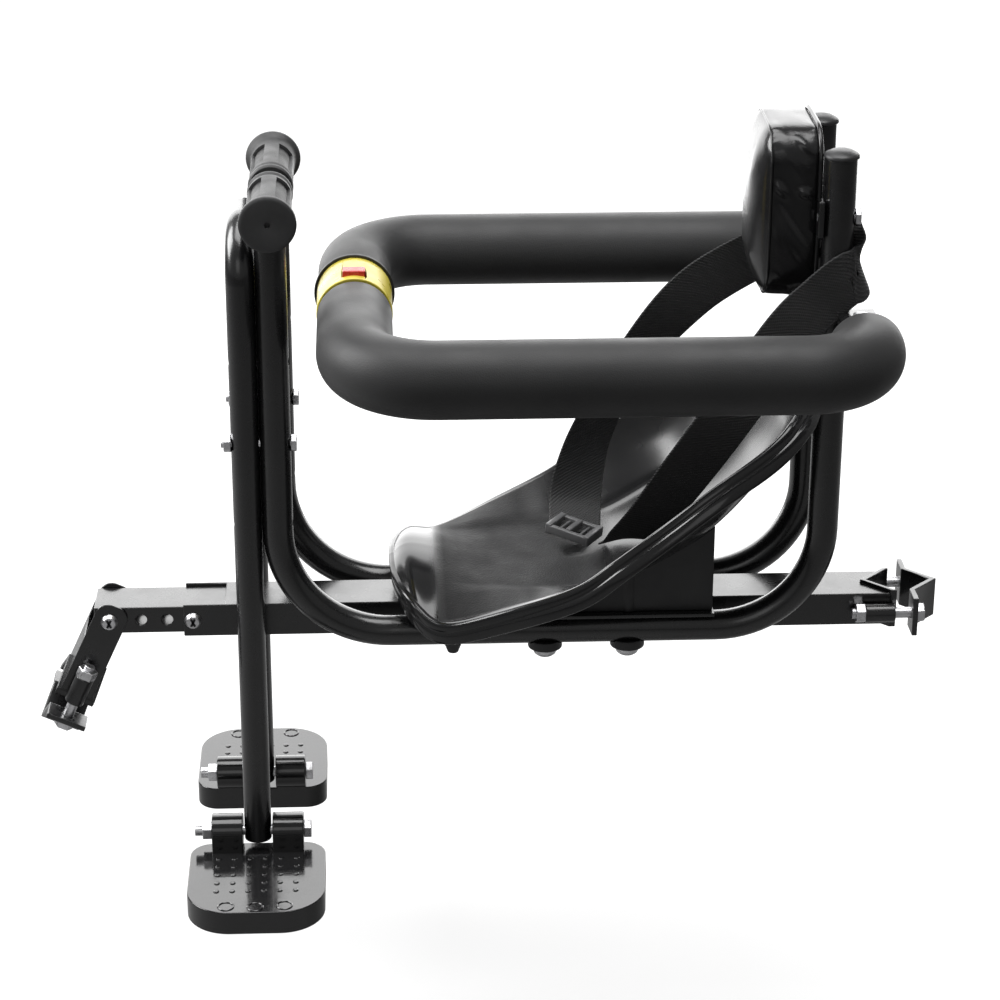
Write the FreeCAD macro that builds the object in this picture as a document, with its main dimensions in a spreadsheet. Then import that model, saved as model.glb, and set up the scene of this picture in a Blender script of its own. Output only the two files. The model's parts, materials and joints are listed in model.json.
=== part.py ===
import FreeCAD, Part
import math
import os
import Sketcher
from FreeCAD import Placement, Rotation, Vector

# Front-mounted child bike seat, carried by a beam between the seat post and the head tube.
# Frame: +X to the rear, +Y to the rider's right, +Z up. The origin is the seat post's axis at
# the beam's mid height. All lengths are millimetres, all angles degrees.
SIZES = {
    # beam and the extension that telescopes in it
    "beam_width": 40,
    "beam_height": 25,
    "beam_wall": 2,
    "beam_reach": 526,
    "cheek_length": 30,
    "slide_gap": 0.3,
    "extension_stick": 65,
    "extension_overlap": 96,
    "extension_wall": 2,
    "hole_pitch": 19,
    "lock_setback": 7,
    "pivot_setback": 11,
    # clamps
    "post_diameter": 30,
    "seat_thickness": 3.5,
    "jaw_thickness": 4,
    "jaw_height": 30,
    "jaw_gap": 3.6,
    "jaw_open": 4.4,
    "jaw_edge": 9,
    "bush_diameter": 14,
    "bush_length": 22,
    "bush_setback": 4,
    # fasteners
    "bolt_diameter": 8,
    "bolt_head_width": 13,
    "bolt_head_height": 5.5,
    "bolt_tail": 3,
    "screw_diameter": 6,
    "screw_head_width": 11.5,
    "screw_head_height": 4,
    "screw_tail": 2,
    "hole_clearance": 0.4,
    "running_clearance": 0.08,
    "head_taper": 0.7,
    "nut_share": 0.85,
    # front arm
    "arm_angle": 25,
    "arm_reach": 71,
    "arm_depth": 24,
    "arm_head": 13,
    "arm_round": 9.6,
    "arm_wall": 2,
    "arm_gap": 0.3,
    "web_start": 20,
    # frame tubes and the plate that ties them to the beam
    "tube_diameter": 22,
    "tube_wall": 1.5,
    "half_track": 45,
    "front_upright": 454.5,
    "rear_post": 64,
    "front_bend": 80,
    "rear_bend": 75,
    "post_top": 352,
    "plate_thickness": 3,
    "plate_front": 352,
    "plate_rear": 141,
    # rubber caps on the posts
    "cap_diameter": 24.5,
    "cap_rim": 4,
    "cap_dome": 5,
    "cap_stem": 12,
    # handlebar and grips
    "bar_height": 320,
    "bar_half": 78,
    "grip_diameter": 31,
    "flange_diameter": 39.5,
    "flange_thickness": 5,
    "grip_half_gap": 2.5,
    "grip_end": 4,
    "fit_gap": 0.2,
    # leg arch
    "leg_diameter": 20,
    "leg_wall": 1.5,
    "leg_top_drop": 20,
    "arch_bend": 32,
    "leg_bolt_height": 149,
    "leg_hole_pitch": 61,
    "hinge_drop": 161,
    "leg_tail": 6,
    # footrests
    "foot_length": 100,
    "foot_inner": 3,
    "foot_outer": 97,
    "foot_drop": 13,
    "foot_skirt": 18,
    "foot_wall": 3,
    "foot_corner": 32,
    "foot_heel": 16,
    "knuckle_diameter": 25,
    "knuckle_inset": 11,
    "knuckle_length": 23,
    "rib_thickness": 2,
    "stud_diameter": 4.4,
    "stud_height": 0.8,
    "stud_pitch": 11.5,
    "stud_margin": 30,
    "pin_diameter": 8,
    # seat shell and what carries it
    "nose_reach": 375,
    "back_reach": 86,
    "pan_height": 44,
    "back_height": 180,
    "seat_half": 120,
    "side_rise": 45,
    "shell_wall": 4,
    "lip_drop": 17,
    "riser_front": 300,
    "riser_rear": 142,
    "riser_half": 50,
    "riser_wall": 3,
    "riser_gap": 0.9,
    "boss_diameter": 13,
    "boss_depth": 15,
    "front_seat_bolt": 263,
    "rear_seat_bolt": 203,
    "saddle_width": 25,
    "saddle_height": 7,
    "plug_place": 330,
    "plug_diameter": 15,
    "plug_tip": 7.5,
    "plug_height": 9.8,
    # backrest
    "cushion_depth": 38,
    "cushion_width": 88,
    "cushion_bottom": 246,
    "cushion_height": 125,
    "cushion_corner": 22,
    "cushion_crown": 6,
    "board_thickness": 4,
    "board_margin": 8,
    "board_bolt_height": 310,
    "strip_height": 26,
    "strip_half": 53,
    # guardrail
    "rail_height": 230,
    "rail_half": 140,
    "rail_front": 397.5,
    "rail_rear": 49,
    "rail_bend": 55,
    "core_diameter": 20,
    "foam_diameter": 53,
    "foam_tail": 18.5,
    "hinge_offset": 70,
    "eye_diameter": 22,
    "eye_height": 24,
    "bracket_plate": 3,
    "bracket_web": 8,
    # guardrail buckle
    "sleeve_diameter": 54,
    "sleeve_wall": 3,
    "sleeve_length": 47,
    "sleeve_start": 7,
    "rim_length": 3,
    "rim_diameter": 58,
    "mouth_gap": 0.5,
    "tongue_length": 23,
    "tongue_root": 16,
    "tongue_tip": 12,
    "tongue_disc": 2,
    "tongue_flange": 38,
    "button_length": 16,
    "button_width": 11,
    "button_proud": 3,
    "button_depth": 9,
    "button_place": 6,
    "button_flange": 2,
    # harness
    "strap_width": 38,
    "strap_thickness": 1.6,
    "buckle_length": 44,
    "buckle_width": 30,
    "buckle_height": 11,
    "buckle_lift": 5.0,
}

doc = FreeCAD.newDocument("child_bike_seat")
sheet = doc.addObject("Spreadsheet::Sheet", "sizes")
for row, (alias, value) in enumerate(SIZES.items(), start=1):
    sheet.set("A%d" % row, alias)
    sheet.set("B%d" % row, str(value))
    sheet.setAlias("B%d" % row, alias)
doc.recompute()


class Dim:
    """A length worked out from the sheet: its value now, and the formula that keeps it."""

    def __init__(self, value, text):
        self.value = value
        self.text = text

    def __float__(self):
        return float(self.value)

    def __add__(self, other):
        other = dim(other)
        return Dim(self.value + other.value, "(%s + %s)" % (self.text, other.text))

    def __sub__(self, other):
        other = dim(other)
        return Dim(self.value - other.value, "(%s - %s)" % (self.text, other.text))

    def __mul__(self, factor):
        return Dim(self.value * factor, "(%s * %r)" % (self.text, factor))

    def __truediv__(self, factor):
        return Dim(self.value / factor, "(%s / %r)" % (self.text, factor))

    def __neg__(self):
        return Dim(-self.value, "(0 - %s)" % self.text)


def dim(value):
    if isinstance(value, Dim):
        return value
    return Dim(float(value), "%r" % float(value))


class Sheet:
    """Reads a cell by its alias: cell.beam_width."""

    def __getattr__(self, alias):
        return Dim(float(sheet.get(alias)), "sizes." + alias)


cell = Sheet()
SQRT2 = math.sqrt(2)
ZERO = dim(0)
nodes = []
counter = iter(range(1, 10000))


def name_of(kind):
    return "%s_%03d" % (kind, next(counter))


def bind(item, prop, length):
    item.setExpression(prop, dim(length).text)


def node(item, label):
    """Gives a finished sub-part its own label and puts it on the list to be written."""
    item.Label = label
    nodes.append(item)
    return item


# Part primitives and booleans, bound to the sheet

TURNS = {
    "x": Rotation(Vector(0, 1, 0), 90),
    "y": Rotation(Vector(1, 0, 0), -90),
    "z": Rotation(),
}


def place(item, x, y, z):
    for axis, length in zip("xyz", (x, y, z)):
        bind(item, "Placement.Base." + axis, length)
    return item


def rod(diameter, length, x, y, z, along):
    """Cylinder that starts at x, y, z and runs along an axis."""
    item = doc.addObject("Part::Cylinder", name_of("rod"))
    bind(item, "Radius", dim(diameter) / 2)
    bind(item, "Height", length)
    item.Placement = Placement(Vector(), TURNS[along])
    return place(item, x, y, z)


def cone(first, last, length, x, y, z, along):
    """Tapered rod, given by its two end diameters."""
    item = doc.addObject("Part::Cone", name_of("cone"))
    bind(item, "Radius1", dim(first) / 2)
    bind(item, "Radius2", dim(last) / 2)
    bind(item, "Height", length)
    item.Placement = Placement(Vector(), TURNS[along])
    return place(item, x, y, z)


def hexagon(flats, length, x, y, z, along):
    """Hexagonal bar, given by its width across flats."""
    item = doc.addObject("Part::Prism", name_of("hexagon"))
    item.Polygon = 6
    bind(item, "Circumradius", dim(flats) / math.sqrt(3))
    bind(item, "Height", length)
    item.Placement = Placement(Vector(), TURNS[along])
    return place(item, x, y, z)


def block(length, width, height, x, y, z):
    """Box with its lowest corner at x, y, z."""
    item = doc.addObject("Part::Box", name_of("block"))
    bind(item, "Length", length)
    bind(item, "Width", width)
    bind(item, "Height", height)
    return place(item, x, y, z)


def fuse(*items):
    item = doc.addObject("Part::MultiFuse", name_of("fuse"))
    item.Shapes = list(items)
    return item


def cut(base, *tools):
    item = doc.addObject("Part::Cut", name_of("cut"))
    item.Base = base
    item.Tool = tools[0] if len(tools) == 1 else fuse(*tools)
    return item


def group(*items):
    item = doc.addObject("Part::Compound", name_of("group"))
    item.Links = list(items)
    return item


def mirror(source):
    """The same piece on the other side of the middle plane."""
    item = doc.addObject("Part::Mirroring", name_of("mirror"))
    item.Source = source
    item.Normal = Vector(0, 1, 0)
    return item


def pair(source):
    return group(source, mirror(source))


# Bodies: sketches held by distances from the origin, pads, pockets and pipes

def new_body():
    return doc.addObject("PartDesign::Body", name_of("body"))


def sketch_on(body, role, offset=ZERO):
    """Sketch on one of the body's own origin planes, moved along the plane's normal."""
    plane = [item for item in body.Origin.OriginFeatures if item.Role == role][0]
    sketch = body.newObject("Sketcher::SketchObject", name_of("sketch"))
    sketch.AttachmentSupport = [(plane, "")]
    sketch.MapMode = "FlatFace"
    bind(sketch, "AttachmentOffset.Base.z", offset)
    return sketch


def constrain(sketch, length, kind, *where):
    index = sketch.addConstraint(Sketcher.Constraint(kind, *where, float(length)))
    sketch.setExpression("Constraints[%d]" % index, dim(length).text)


def hold(sketch, geometry, point, u, v):
    """Fixes a point of the sketch at u, v from the sketch's origin."""
    constrain(sketch, u, "DistanceX", -1, 1, geometry, point)
    constrain(sketch, v, "DistanceY", -1, 1, geometry, point)


def outline(sketch, corners):
    """Closed outline with straight sides."""
    points = [Vector(float(u), float(v), 0) for u, v in corners]
    first = len(sketch.Geometry)
    count = len(points)
    for index in range(count):
        sketch.addGeometry(Part.LineSegment(points[index], points[(index + 1) % count]), False)
    for index, (u, v) in enumerate(corners):
        after = first + (index + 1) % count
        sketch.addConstraint(Sketcher.Constraint("Coincident", first + index, 2, after, 1))
        hold(sketch, first + index, 1, u, v)


def rectangle(sketch, low_u, low_v, high_u, high_v):
    outline(sketch, [(low_u, low_v), (high_u, low_v), (high_u, high_v), (low_u, high_v)])


def circle(sketch, diameter, u, v):
    index = sketch.addGeometry(
        Part.Circle(Vector(float(u), float(v), 0), Vector(0, 0, 1), float(diameter) / 2), False)
    hold(sketch, index, 3, u, v)
    constrain(sketch, diameter, "Diameter", index)


def bent_path(sketch, corners, bends):
    """Open path of straight runs through the corners, each corner rounded by an arc."""
    points = [Vector(float(u), float(v), 0) for u, v in corners]
    ends = [points[0]]
    arcs = []
    for index, bend in enumerate(bends, start=1):
        before = (points[index] - points[index - 1]).normalize()
        after = (points[index + 1] - points[index]).normalize()
        turn = before.getAngle(after)
        setback = float(bend) * math.tan(turn / 2)
        start = points[index] - before * setback
        finish = points[index] + after * setback
        left = before.cross(after).z > 0
        side = Vector(-before.y, before.x, 0) if left else Vector(before.y, -before.x, 0)
        centre = start + side * float(bend)
        first, last = (start, finish) if left else (finish, start)
        angles = [math.atan2(end.y - centre.y, end.x - centre.x) for end in (first, last)]
        arcs.append((centre, angles, left, bend, index))
        ends += [start, finish]
    ends.append(points[-1])
    runs = []
    for index in range(0, len(ends), 2):
        runs.append(sketch.addGeometry(Part.LineSegment(ends[index], ends[index + 1]), False))
    for position, (centre, angles, left, bend, corner) in enumerate(arcs):
        ring = Part.Circle(centre, Vector(0, 0, 1), float(bend))
        arc = sketch.addGeometry(Part.ArcOfCircle(ring, *angles), False)
        enter, leave = (1, 2) if left else (2, 1)
        sketch.addConstraint(Sketcher.Constraint("Tangent", runs[position], 2, arc, enter))
        sketch.addConstraint(Sketcher.Constraint("Tangent", runs[position + 1], 1, arc, leave))
        constrain(sketch, bend, "Radius", arc)
        mark = sketch.addGeometry(Part.Point(points[corner]), True)
        hold(sketch, mark, 1, *corners[corner])
        sketch.addConstraint(Sketcher.Constraint("PointOnObject", mark, 1, runs[position]))
        sketch.addConstraint(Sketcher.Constraint("PointOnObject", mark, 1, runs[position + 1]))
    hold(sketch, runs[0], 1, *corners[0])
    hold(sketch, runs[-1], 2, *corners[-1])


def pad(body, sketch, length, side="One side", reverse=False):
    item = body.newObject("PartDesign::Pad", name_of("pad"))
    item.Profile = sketch
    item.SideType = side
    item.Reversed = reverse
    bind(item, "Length", length)
    return item


def pocket(body, sketch):
    """Cuts the sketch right through the body, both ways."""
    item = body.newObject("PartDesign::Pocket", name_of("pocket"))
    item.Profile = sketch
    item.Type = "ThroughAll"
    item.SideType = "Symmetric"
    return item


def pipe(body, profile, path):
    item = body.newObject("PartDesign::AdditivePipe", name_of("pipe"))
    item.Profile = profile
    item.Spine = (path, [])
    item.Transition = "Transformed"
    return item


def fillet(body, radius, chosen):
    """Rounds the body's edges that the test picks out."""
    doc.recompute()
    base = body.Tip
    edges = ["Edge%d" % number for number, edge in enumerate(base.Shape.Edges, start=1) if chosen(edge)]
    item = body.newObject("PartDesign::Fillet", name_of("fillet"))
    item.Base = (base, edges)
    bind(item, "Radius", radius)
    return item


def revolve(body, sketch, axis):
    item = body.newObject("PartDesign::Revolution", name_of("revolve"))
    item.Profile = sketch
    item.ReferenceAxis = (sketch, [axis])
    item.Angle = 360
    return item


# Fasteners: a bolt is laid from the underside of its head, a nut from its seat

def bolt(diameter, flats, head, shank, x, y, z, along):
    """Hexagon bolt whose head ends where the shank starts, at x, y, z; it runs down its axis."""
    back = {"x": (dim(x) - shank, y, z), "y": (x, dim(y) - shank, z), "z": (x, y, dim(z) - shank)}[along]
    return fuse(hexagon(flats, head, x, y, z, along), rod(diameter, shank, *back, along))


def pan_bolt(diameter, width, head, shank, x, y, z, along):
    """Bolt with a low tapered head on its near end; the shank runs up its axis."""
    low = {"x": (dim(x) - head, y, z), "y": (x, dim(y) - head, z), "z": (x, y, dim(z) - head)}[along]
    crown = cone(dim(width) * float(cell.head_taper), width, head, *low, along)
    return fuse(crown, rod(diameter, shank, x, y, z, along))


def nut(diameter, flats, height, x, y, z, along):
    bore = dim(diameter) + cell.running_clearance * 2
    return cut(hexagon(flats, height, x, y, z, along), rod(bore, height, x, y, z, along))


screw_nut_height = cell.screw_diameter * float(cell.nut_share)
bolt_nut_height = cell.bolt_diameter * float(cell.nut_share)
screw_hole = cell.screw_diameter + cell.hole_clearance
bolt_hole = cell.bolt_diameter + cell.hole_clearance


# Main beam: rectangular tube, V-notched for the seat post, with two cheeks left at the front

beam_half = cell.beam_width / 2
beam_top = cell.beam_height / 2
apex = cell.post_diameter / 2 * SQRT2
notch_apex = apex + cell.seat_thickness * SQRT2
beam_end = notch_apex - beam_half
inner_half = beam_half - cell.beam_wall
inner_top = beam_top - cell.beam_wall
lock_place = cell.beam_reach - cell.lock_setback

body = new_body()
section = sketch_on(body, "YZ_Plane", -cell.beam_reach)
rectangle(section, -beam_half, -beam_top, beam_half, beam_top)
rectangle(section, -inner_half, -inner_top, inner_half, inner_top)
pad(body, section, cell.beam_reach - beam_end)
notch = sketch_on(body, "XY_Plane")
outline(notch, [(-notch_apex, ZERO), (-beam_end, -beam_half), (beam_half, -beam_half),
                (beam_half, beam_half), (-beam_end, beam_half)])
pocket(body, notch)
cheeks = sketch_on(body, "XY_Plane")
rectangle(cheeks, -cell.beam_reach - cell.cheek_length, -inner_half,
          -cell.beam_reach + cell.cheek_length, inner_half)
pocket(body, cheeks)
hole = sketch_on(body, "XZ_Plane")
circle(hole, bolt_hole, -lock_place, ZERO)
pocket(body, hole)
node(body, "main_beam")


# Clamp: V seat welded to the end it closes, two bushes beside it, a V jaw drawn up by two bolts.
# It is laid out round the clamped tube's axis, with the jaw on the +X side, slackened off its seat.

def clamp(prefix, carrier_half, placement):
    spread = carrier_half + cell.bush_diameter / 2
    seat = new_body()
    strip = sketch_on(seat, "XY_Plane")
    outline(strip, [(-notch_apex, ZERO), (-notch_apex + carrier_half, -carrier_half),
                    (-apex + carrier_half, -carrier_half), (-apex, ZERO),
                    (-apex + carrier_half, carrier_half), (-notch_apex + carrier_half, carrier_half)])
    pad(seat, strip, cell.jaw_height, "Symmetric")
    node(seat, prefix + "_v_seat")

    bush_start = -cell.bush_setback - cell.bush_length
    ring = cut(rod(cell.bush_diameter, cell.bush_length, bush_start, -spread, ZERO, "x"),
               rod(bolt_hole, cell.bush_length, bush_start, -spread, ZERO, "x"))
    bushes = node(pair(ring), prefix + "_bushes")

    jaw = new_body()
    plate = sketch_on(jaw, "XY_Plane")
    flange_end = spread + cell.jaw_edge
    fold = apex - cell.jaw_gap
    jaw_front = cell.jaw_gap + cell.jaw_open
    jaw_apex = apex + cell.jaw_open
    back = jaw_front + cell.jaw_thickness
    back_fold = fold + cell.jaw_thickness * (SQRT2 - 1)
    half = [(jaw_front, fold), (jaw_front, flange_end), (back, flange_end), (back, back_fold)]
    lower = [(u, -v) for u, v in half]
    outline(plate, [(jaw_apex, ZERO)] + half + [(jaw_apex + cell.jaw_thickness * SQRT2, ZERO)] + lower[::-1])
    pad(jaw, plate, cell.jaw_height, "Symmetric")
    holes = sketch_on(jaw, "YZ_Plane")
    circle(holes, bolt_hole, -spread, ZERO)
    circle(holes, bolt_hole, spread, ZERO)
    pocket(jaw, holes)
    node(jaw, prefix + "_jaw")

    shank = back - bush_start + bolt_nut_height + cell.bolt_tail
    bolts = node(pair(bolt(cell.bolt_diameter, cell.bolt_head_width, cell.bolt_head_height, shank,
                           back, -spread, ZERO, "x")), prefix + "_jaw_bolts")
    nuts = node(pair(nut(cell.bolt_diameter, cell.bolt_head_width, bolt_nut_height,
                         bush_start - bolt_nut_height, -spread, ZERO, "x")), prefix + "_jaw_nuts")
    for item in (seat, bushes, jaw, bolts, nuts):
        item.Placement = placement


clamp("rear", beam_half, Placement())


# Front extension: smaller tube with adjusting holes, locked in the beam by one bolt

extension_half = inner_half - cell.slide_gap
extension_top = inner_top - cell.slide_gap
hollow_half = extension_half - cell.extension_wall
hollow_top = extension_top - cell.extension_wall
extension_reach = cell.beam_reach + cell.extension_stick
extension_rear = cell.beam_reach - cell.extension_overlap
pivot_place = extension_reach - cell.pivot_setback

body = new_body()
section = sketch_on(body, "YZ_Plane", -extension_reach)
rectangle(section, -extension_half, -extension_top, extension_half, extension_top)
rectangle(section, -hollow_half, -hollow_top, hollow_half, hollow_top)
pad(body, section, extension_reach - extension_rear)
holes = sketch_on(body, "XZ_Plane")
for step in range(3):
    circle(holes, bolt_hole, -lock_place - cell.hole_pitch * step, ZERO)
circle(holes, bolt_hole, -pivot_place, ZERO)
pocket(body, holes)
node(body, "front_extension")

lock_shank = cell.beam_width + bolt_nut_height + cell.bolt_tail
node(pan_bolt(cell.bolt_diameter, cell.bolt_head_width, cell.screw_head_height, lock_shank,
              -lock_place, -beam_half, ZERO, "y"), "extension_bolt")
node(nut(cell.bolt_diameter, cell.bolt_head_width, bolt_nut_height,
         -lock_place, beam_half, ZERO, "y"), "extension_nut")


# Front arm: folded channel that straddles the extension and turns on its pivot bolt.
# It is drawn along +X from the pivot, then turned down and forward.

arm_inside = extension_half + cell.arm_gap
arm_half = arm_inside + cell.arm_wall
arm_side = cell.arm_depth / 2
arm_end = cell.arm_reach - beam_end
pivot = Vector(-float(pivot_place), 0, 0)
arm_turn = Rotation(Vector(0, 1, 0), 90 + float(cell.arm_angle))
arm_placement = Placement(pivot, arm_turn)

body = new_body()
side = sketch_on(body, "XZ_Plane")
rectangle(side, -cell.arm_head, -arm_side, arm_end, arm_side)
pad(body, side, arm_half * 2, "Symmetric")
fillet(body, cell.arm_round, lambda edge: edge.BoundBox.XMax < 0 and edge.BoundBox.YLength > 1)
channel = sketch_on(body, "XY_Plane", -arm_side + cell.arm_wall)
rectangle(channel, -cell.arm_head * 2, -arm_inside, cell.arm_reach, arm_inside)
trough = body.newObject("PartDesign::Pocket", name_of("pocket"))
trough.Profile = channel
trough.Type = "ThroughAll"
trough.Reversed = True
window = sketch_on(body, "XY_Plane")
rectangle(window, -cell.arm_head * 2, -arm_inside, cell.web_start, arm_inside)
pocket(body, window)
notch = sketch_on(body, "XY_Plane")
notch_tip = cell.arm_reach - notch_apex
outline(notch, [(notch_tip, ZERO), (arm_end, -arm_half), (cell.arm_reach, -arm_half),
                (cell.arm_reach, arm_half), (arm_end, arm_half)])
pocket(body, notch)
holes = sketch_on(body, "XZ_Plane")
circle(holes, cell.bolt_diameter + cell.running_clearance * 2, ZERO, ZERO)
pocket(body, holes)
body.Placement = arm_placement
node(body, "front_arm")

pivot_shank = arm_half * 2 + bolt_nut_height + cell.bolt_tail
node(pan_bolt(cell.bolt_diameter, cell.bolt_head_width, cell.screw_head_height, pivot_shank,
              -pivot_place, -arm_half, ZERO, "y"), "arm_pivot_bolt")
node(nut(cell.bolt_diameter, cell.bolt_head_width, bolt_nut_height,
         -pivot_place, arm_half, ZERO, "y"), "arm_pivot_nut")

clamp_centre = pivot + arm_turn.multVec(Vector(float(cell.arm_reach), 0, 0))
clamp("front", arm_half, Placement(clamp_centre, arm_turn))


# Frame tubes: each is one bent tube, from the handlebar down, back below the seat and up the post

tube_half = cell.tube_diameter / 2
run_height = beam_top - tube_half
tube_bore = cell.tube_diameter - cell.tube_wall * 2
leg_axis = cell.front_upright + tube_half + cell.leg_diameter / 2 + cell.fit_gap
leg_front = leg_axis + cell.leg_diameter / 2
leg_levels = [cell.leg_bolt_height + cell.leg_hole_pitch * step for step in (-1, 0, 1)]
leg_drills = [rod(screw_hole, cell.leg_diameter * 3, -leg_front - cell.screw_tail, -cell.half_track,
                  level, "x") for level in leg_levels]
bolt_places = (cell.front_seat_bolt, cell.rear_seat_bolt)
seat_drills = [rod(screw_hole, cell.tube_diameter * 3, -spot, -cell.half_track,
                   run_height - cell.tube_diameter, "z") for spot in bolt_places]
board_drill = rod(screw_hole, cell.tube_diameter * 2, -cell.rear_post - cell.tube_diameter,
                  -cell.half_track, cell.board_bolt_height, "x")

body = new_body()
path = sketch_on(body, "XZ_Plane", cell.half_track)
bent_path(path, [(-cell.front_upright, cell.bar_height), (-cell.front_upright, run_height),
                 (-cell.rear_post, run_height), (-cell.rear_post, cell.post_top)],
          [cell.front_bend, cell.rear_bend])
section = sketch_on(body, "XY_Plane", cell.bar_height)
circle(section, cell.tube_diameter, -cell.front_upright, -cell.half_track)
circle(section, tube_bore, -cell.front_upright, -cell.half_track)
pipe(body, section, path)
cope = rod(cell.tube_diameter, cell.bar_half * 2, -cell.front_upright, -cell.bar_half,
           cell.bar_height, "y")
left_tube = node(cut(body, cope, board_drill, *leg_drills, *seat_drills), "left_frame_tube")
node(mirror(left_tube), "right_frame_tube")

# Tie plate, welded on top of the beam and both tubes

plate_half = cell.half_track + tube_half
plate = block(cell.plate_front - cell.plate_rear, plate_half * 2, cell.plate_thickness,
              -cell.plate_front, -plate_half, beam_top)
plate_drills = [rod(screw_hole, cell.plate_thickness, -spot, side, beam_top, "z")
                for spot in bolt_places for side in (-cell.half_track, cell.half_track)]
node(cut(plate, *plate_drills), "tie_plate")

# Rubber caps: domed head on the post's end, stem pushed into its bore

body = new_body()
profile = sketch_on(body, "XZ_Plane", cell.half_track)
stem_half = tube_bore / 2 - cell.fit_gap
dome_half = cell.cap_diameter / 4
top = cell.post_top + cell.cap_rim
outline(profile, [(-cell.rear_post, cell.post_top - cell.cap_stem),
                  (-cell.rear_post + stem_half, cell.post_top - cell.cap_stem),
                  (-cell.rear_post + stem_half, cell.post_top),
                  (-cell.rear_post + dome_half * 2, cell.post_top),
                  (-cell.rear_post + dome_half * 2, top),
                  (-cell.rear_post + dome_half, top + cell.cap_dome * 0.75),
                  (-cell.rear_post, top + cell.cap_dome)])
axis = profile.addGeometry(Part.LineSegment(Vector(-float(cell.rear_post), 0, 0),
                                            Vector(-float(cell.rear_post), 50, 0)), True)
hold(profile, axis, 1, -cell.rear_post, ZERO)
hold(profile, axis, 2, -cell.rear_post, cell.post_top)
revolve(body, profile, "Axis0")
node(pair(body), "post_caps")


# Handlebar across the front uprights, and its two rubber grips with mushroom ends

bar_bore = cell.tube_diameter - cell.tube_wall * 2
bar = rod(cell.tube_diameter, cell.bar_half * 2, -cell.front_upright, -cell.bar_half, cell.bar_height, "y")
bore = rod(bar_bore, cell.bar_half * 2, -cell.front_upright, -cell.bar_half, cell.bar_height, "y")
node(cut(bar, bore), "handlebar")

body = new_body()
profile = sketch_on(body, "YZ_Plane", -cell.front_upright)
grip_bore = tube_half + cell.fit_gap
grip_out = cell.bar_half + cell.grip_end
body_half = cell.grip_diameter / 2
flange_half = cell.flange_diameter / 2
flange_in = grip_out - cell.flange_thickness
outline(profile, [(-cell.grip_half_gap, cell.bar_height + grip_bore),
                  (-cell.grip_half_gap, cell.bar_height + body_half),
                  (-flange_in + cell.flange_thickness, cell.bar_height + body_half),
                  (-flange_in, cell.bar_height + flange_half),
                  (-grip_out, cell.bar_height + flange_half - cell.flange_thickness / 5),
                  (-grip_out, cell.bar_height + cell.pin_diameter / 4),
                  (-cell.bar_half - cell.fit_gap, cell.bar_height + cell.pin_diameter / 4),
                  (-cell.bar_half - cell.fit_gap, cell.bar_height + grip_bore)])
axis = profile.addGeometry(Part.LineSegment(Vector(0, float(cell.bar_height), 0),
                                            Vector(50, float(cell.bar_height), 0)), True)
hold(profile, axis, 1, ZERO, cell.bar_height)
hold(profile, axis, 2, cell.bar_half, cell.bar_height)
revolve(body, profile, "Axis0")
upright_notch = rod(cell.tube_diameter + cell.fit_gap * 2, cell.flange_diameter, -cell.front_upright,
                    -cell.half_track, cell.bar_height - cell.flange_diameter, "z")
left_grip = node(cut(body, upright_notch), "left_grip")
node(mirror(left_grip), "right_grip")


# Leg arch: one tube bent to an upside-down U, bolted to the front of the uprights

leg_foot = -cell.hinge_drop - cell.leg_tail
leg_top = cell.bar_height - cell.leg_top_drop
leg_bore = cell.leg_diameter - cell.leg_wall * 2
body = new_body()
path = sketch_on(body, "YZ_Plane", -leg_axis)
bent_path(path, [(-cell.half_track, leg_foot), (-cell.half_track, leg_top),
                 (cell.half_track, leg_top), (cell.half_track, leg_foot)],
          [cell.arch_bend, cell.arch_bend])
section = sketch_on(body, "XY_Plane", leg_foot)
circle(section, cell.leg_diameter, -leg_axis, -cell.half_track)
circle(section, leg_bore, -leg_axis, -cell.half_track)
pipe(body, section, path)
pin_hole = cell.pin_diameter + cell.running_clearance * 2
pin_drills = [rod(pin_hole, cell.leg_diameter * 2, -leg_axis - cell.leg_diameter, side,
                  -cell.hinge_drop, "x") for side in (-cell.half_track, cell.half_track)]
right_drills = [rod(screw_hole, cell.leg_diameter * 3, -leg_front - cell.screw_tail, cell.half_track,
                    level, "x") for level in leg_levels]
node(cut(body, *pin_drills, *leg_drills, *right_drills), "leg_arch")

upright_rear = cell.front_upright - tube_half
leg_shank = leg_front - upright_rear + screw_nut_height + cell.screw_tail
node(pair(bolt(cell.screw_diameter, cell.screw_head_width, cell.screw_head_height, leg_shank,
               -upright_rear, -cell.half_track, cell.leg_bolt_height, "x")), "leg_bolts")
node(pair(nut(cell.screw_diameter, cell.screw_head_width, screw_nut_height,
              -leg_front - screw_nut_height, -cell.half_track, cell.leg_bolt_height, "x")), "leg_nuts")


# Footrests: moulded tread with a skirt and ribs below, two knuckles on a pin through the leg's end

tread_top = -cell.hinge_drop - cell.foot_drop
tread_low = tread_top - cell.foot_skirt
foot_half = cell.foot_length / 2
tread_in = -cell.half_track + cell.foot_inner
tread_out = -cell.half_track - cell.foot_outer


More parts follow.
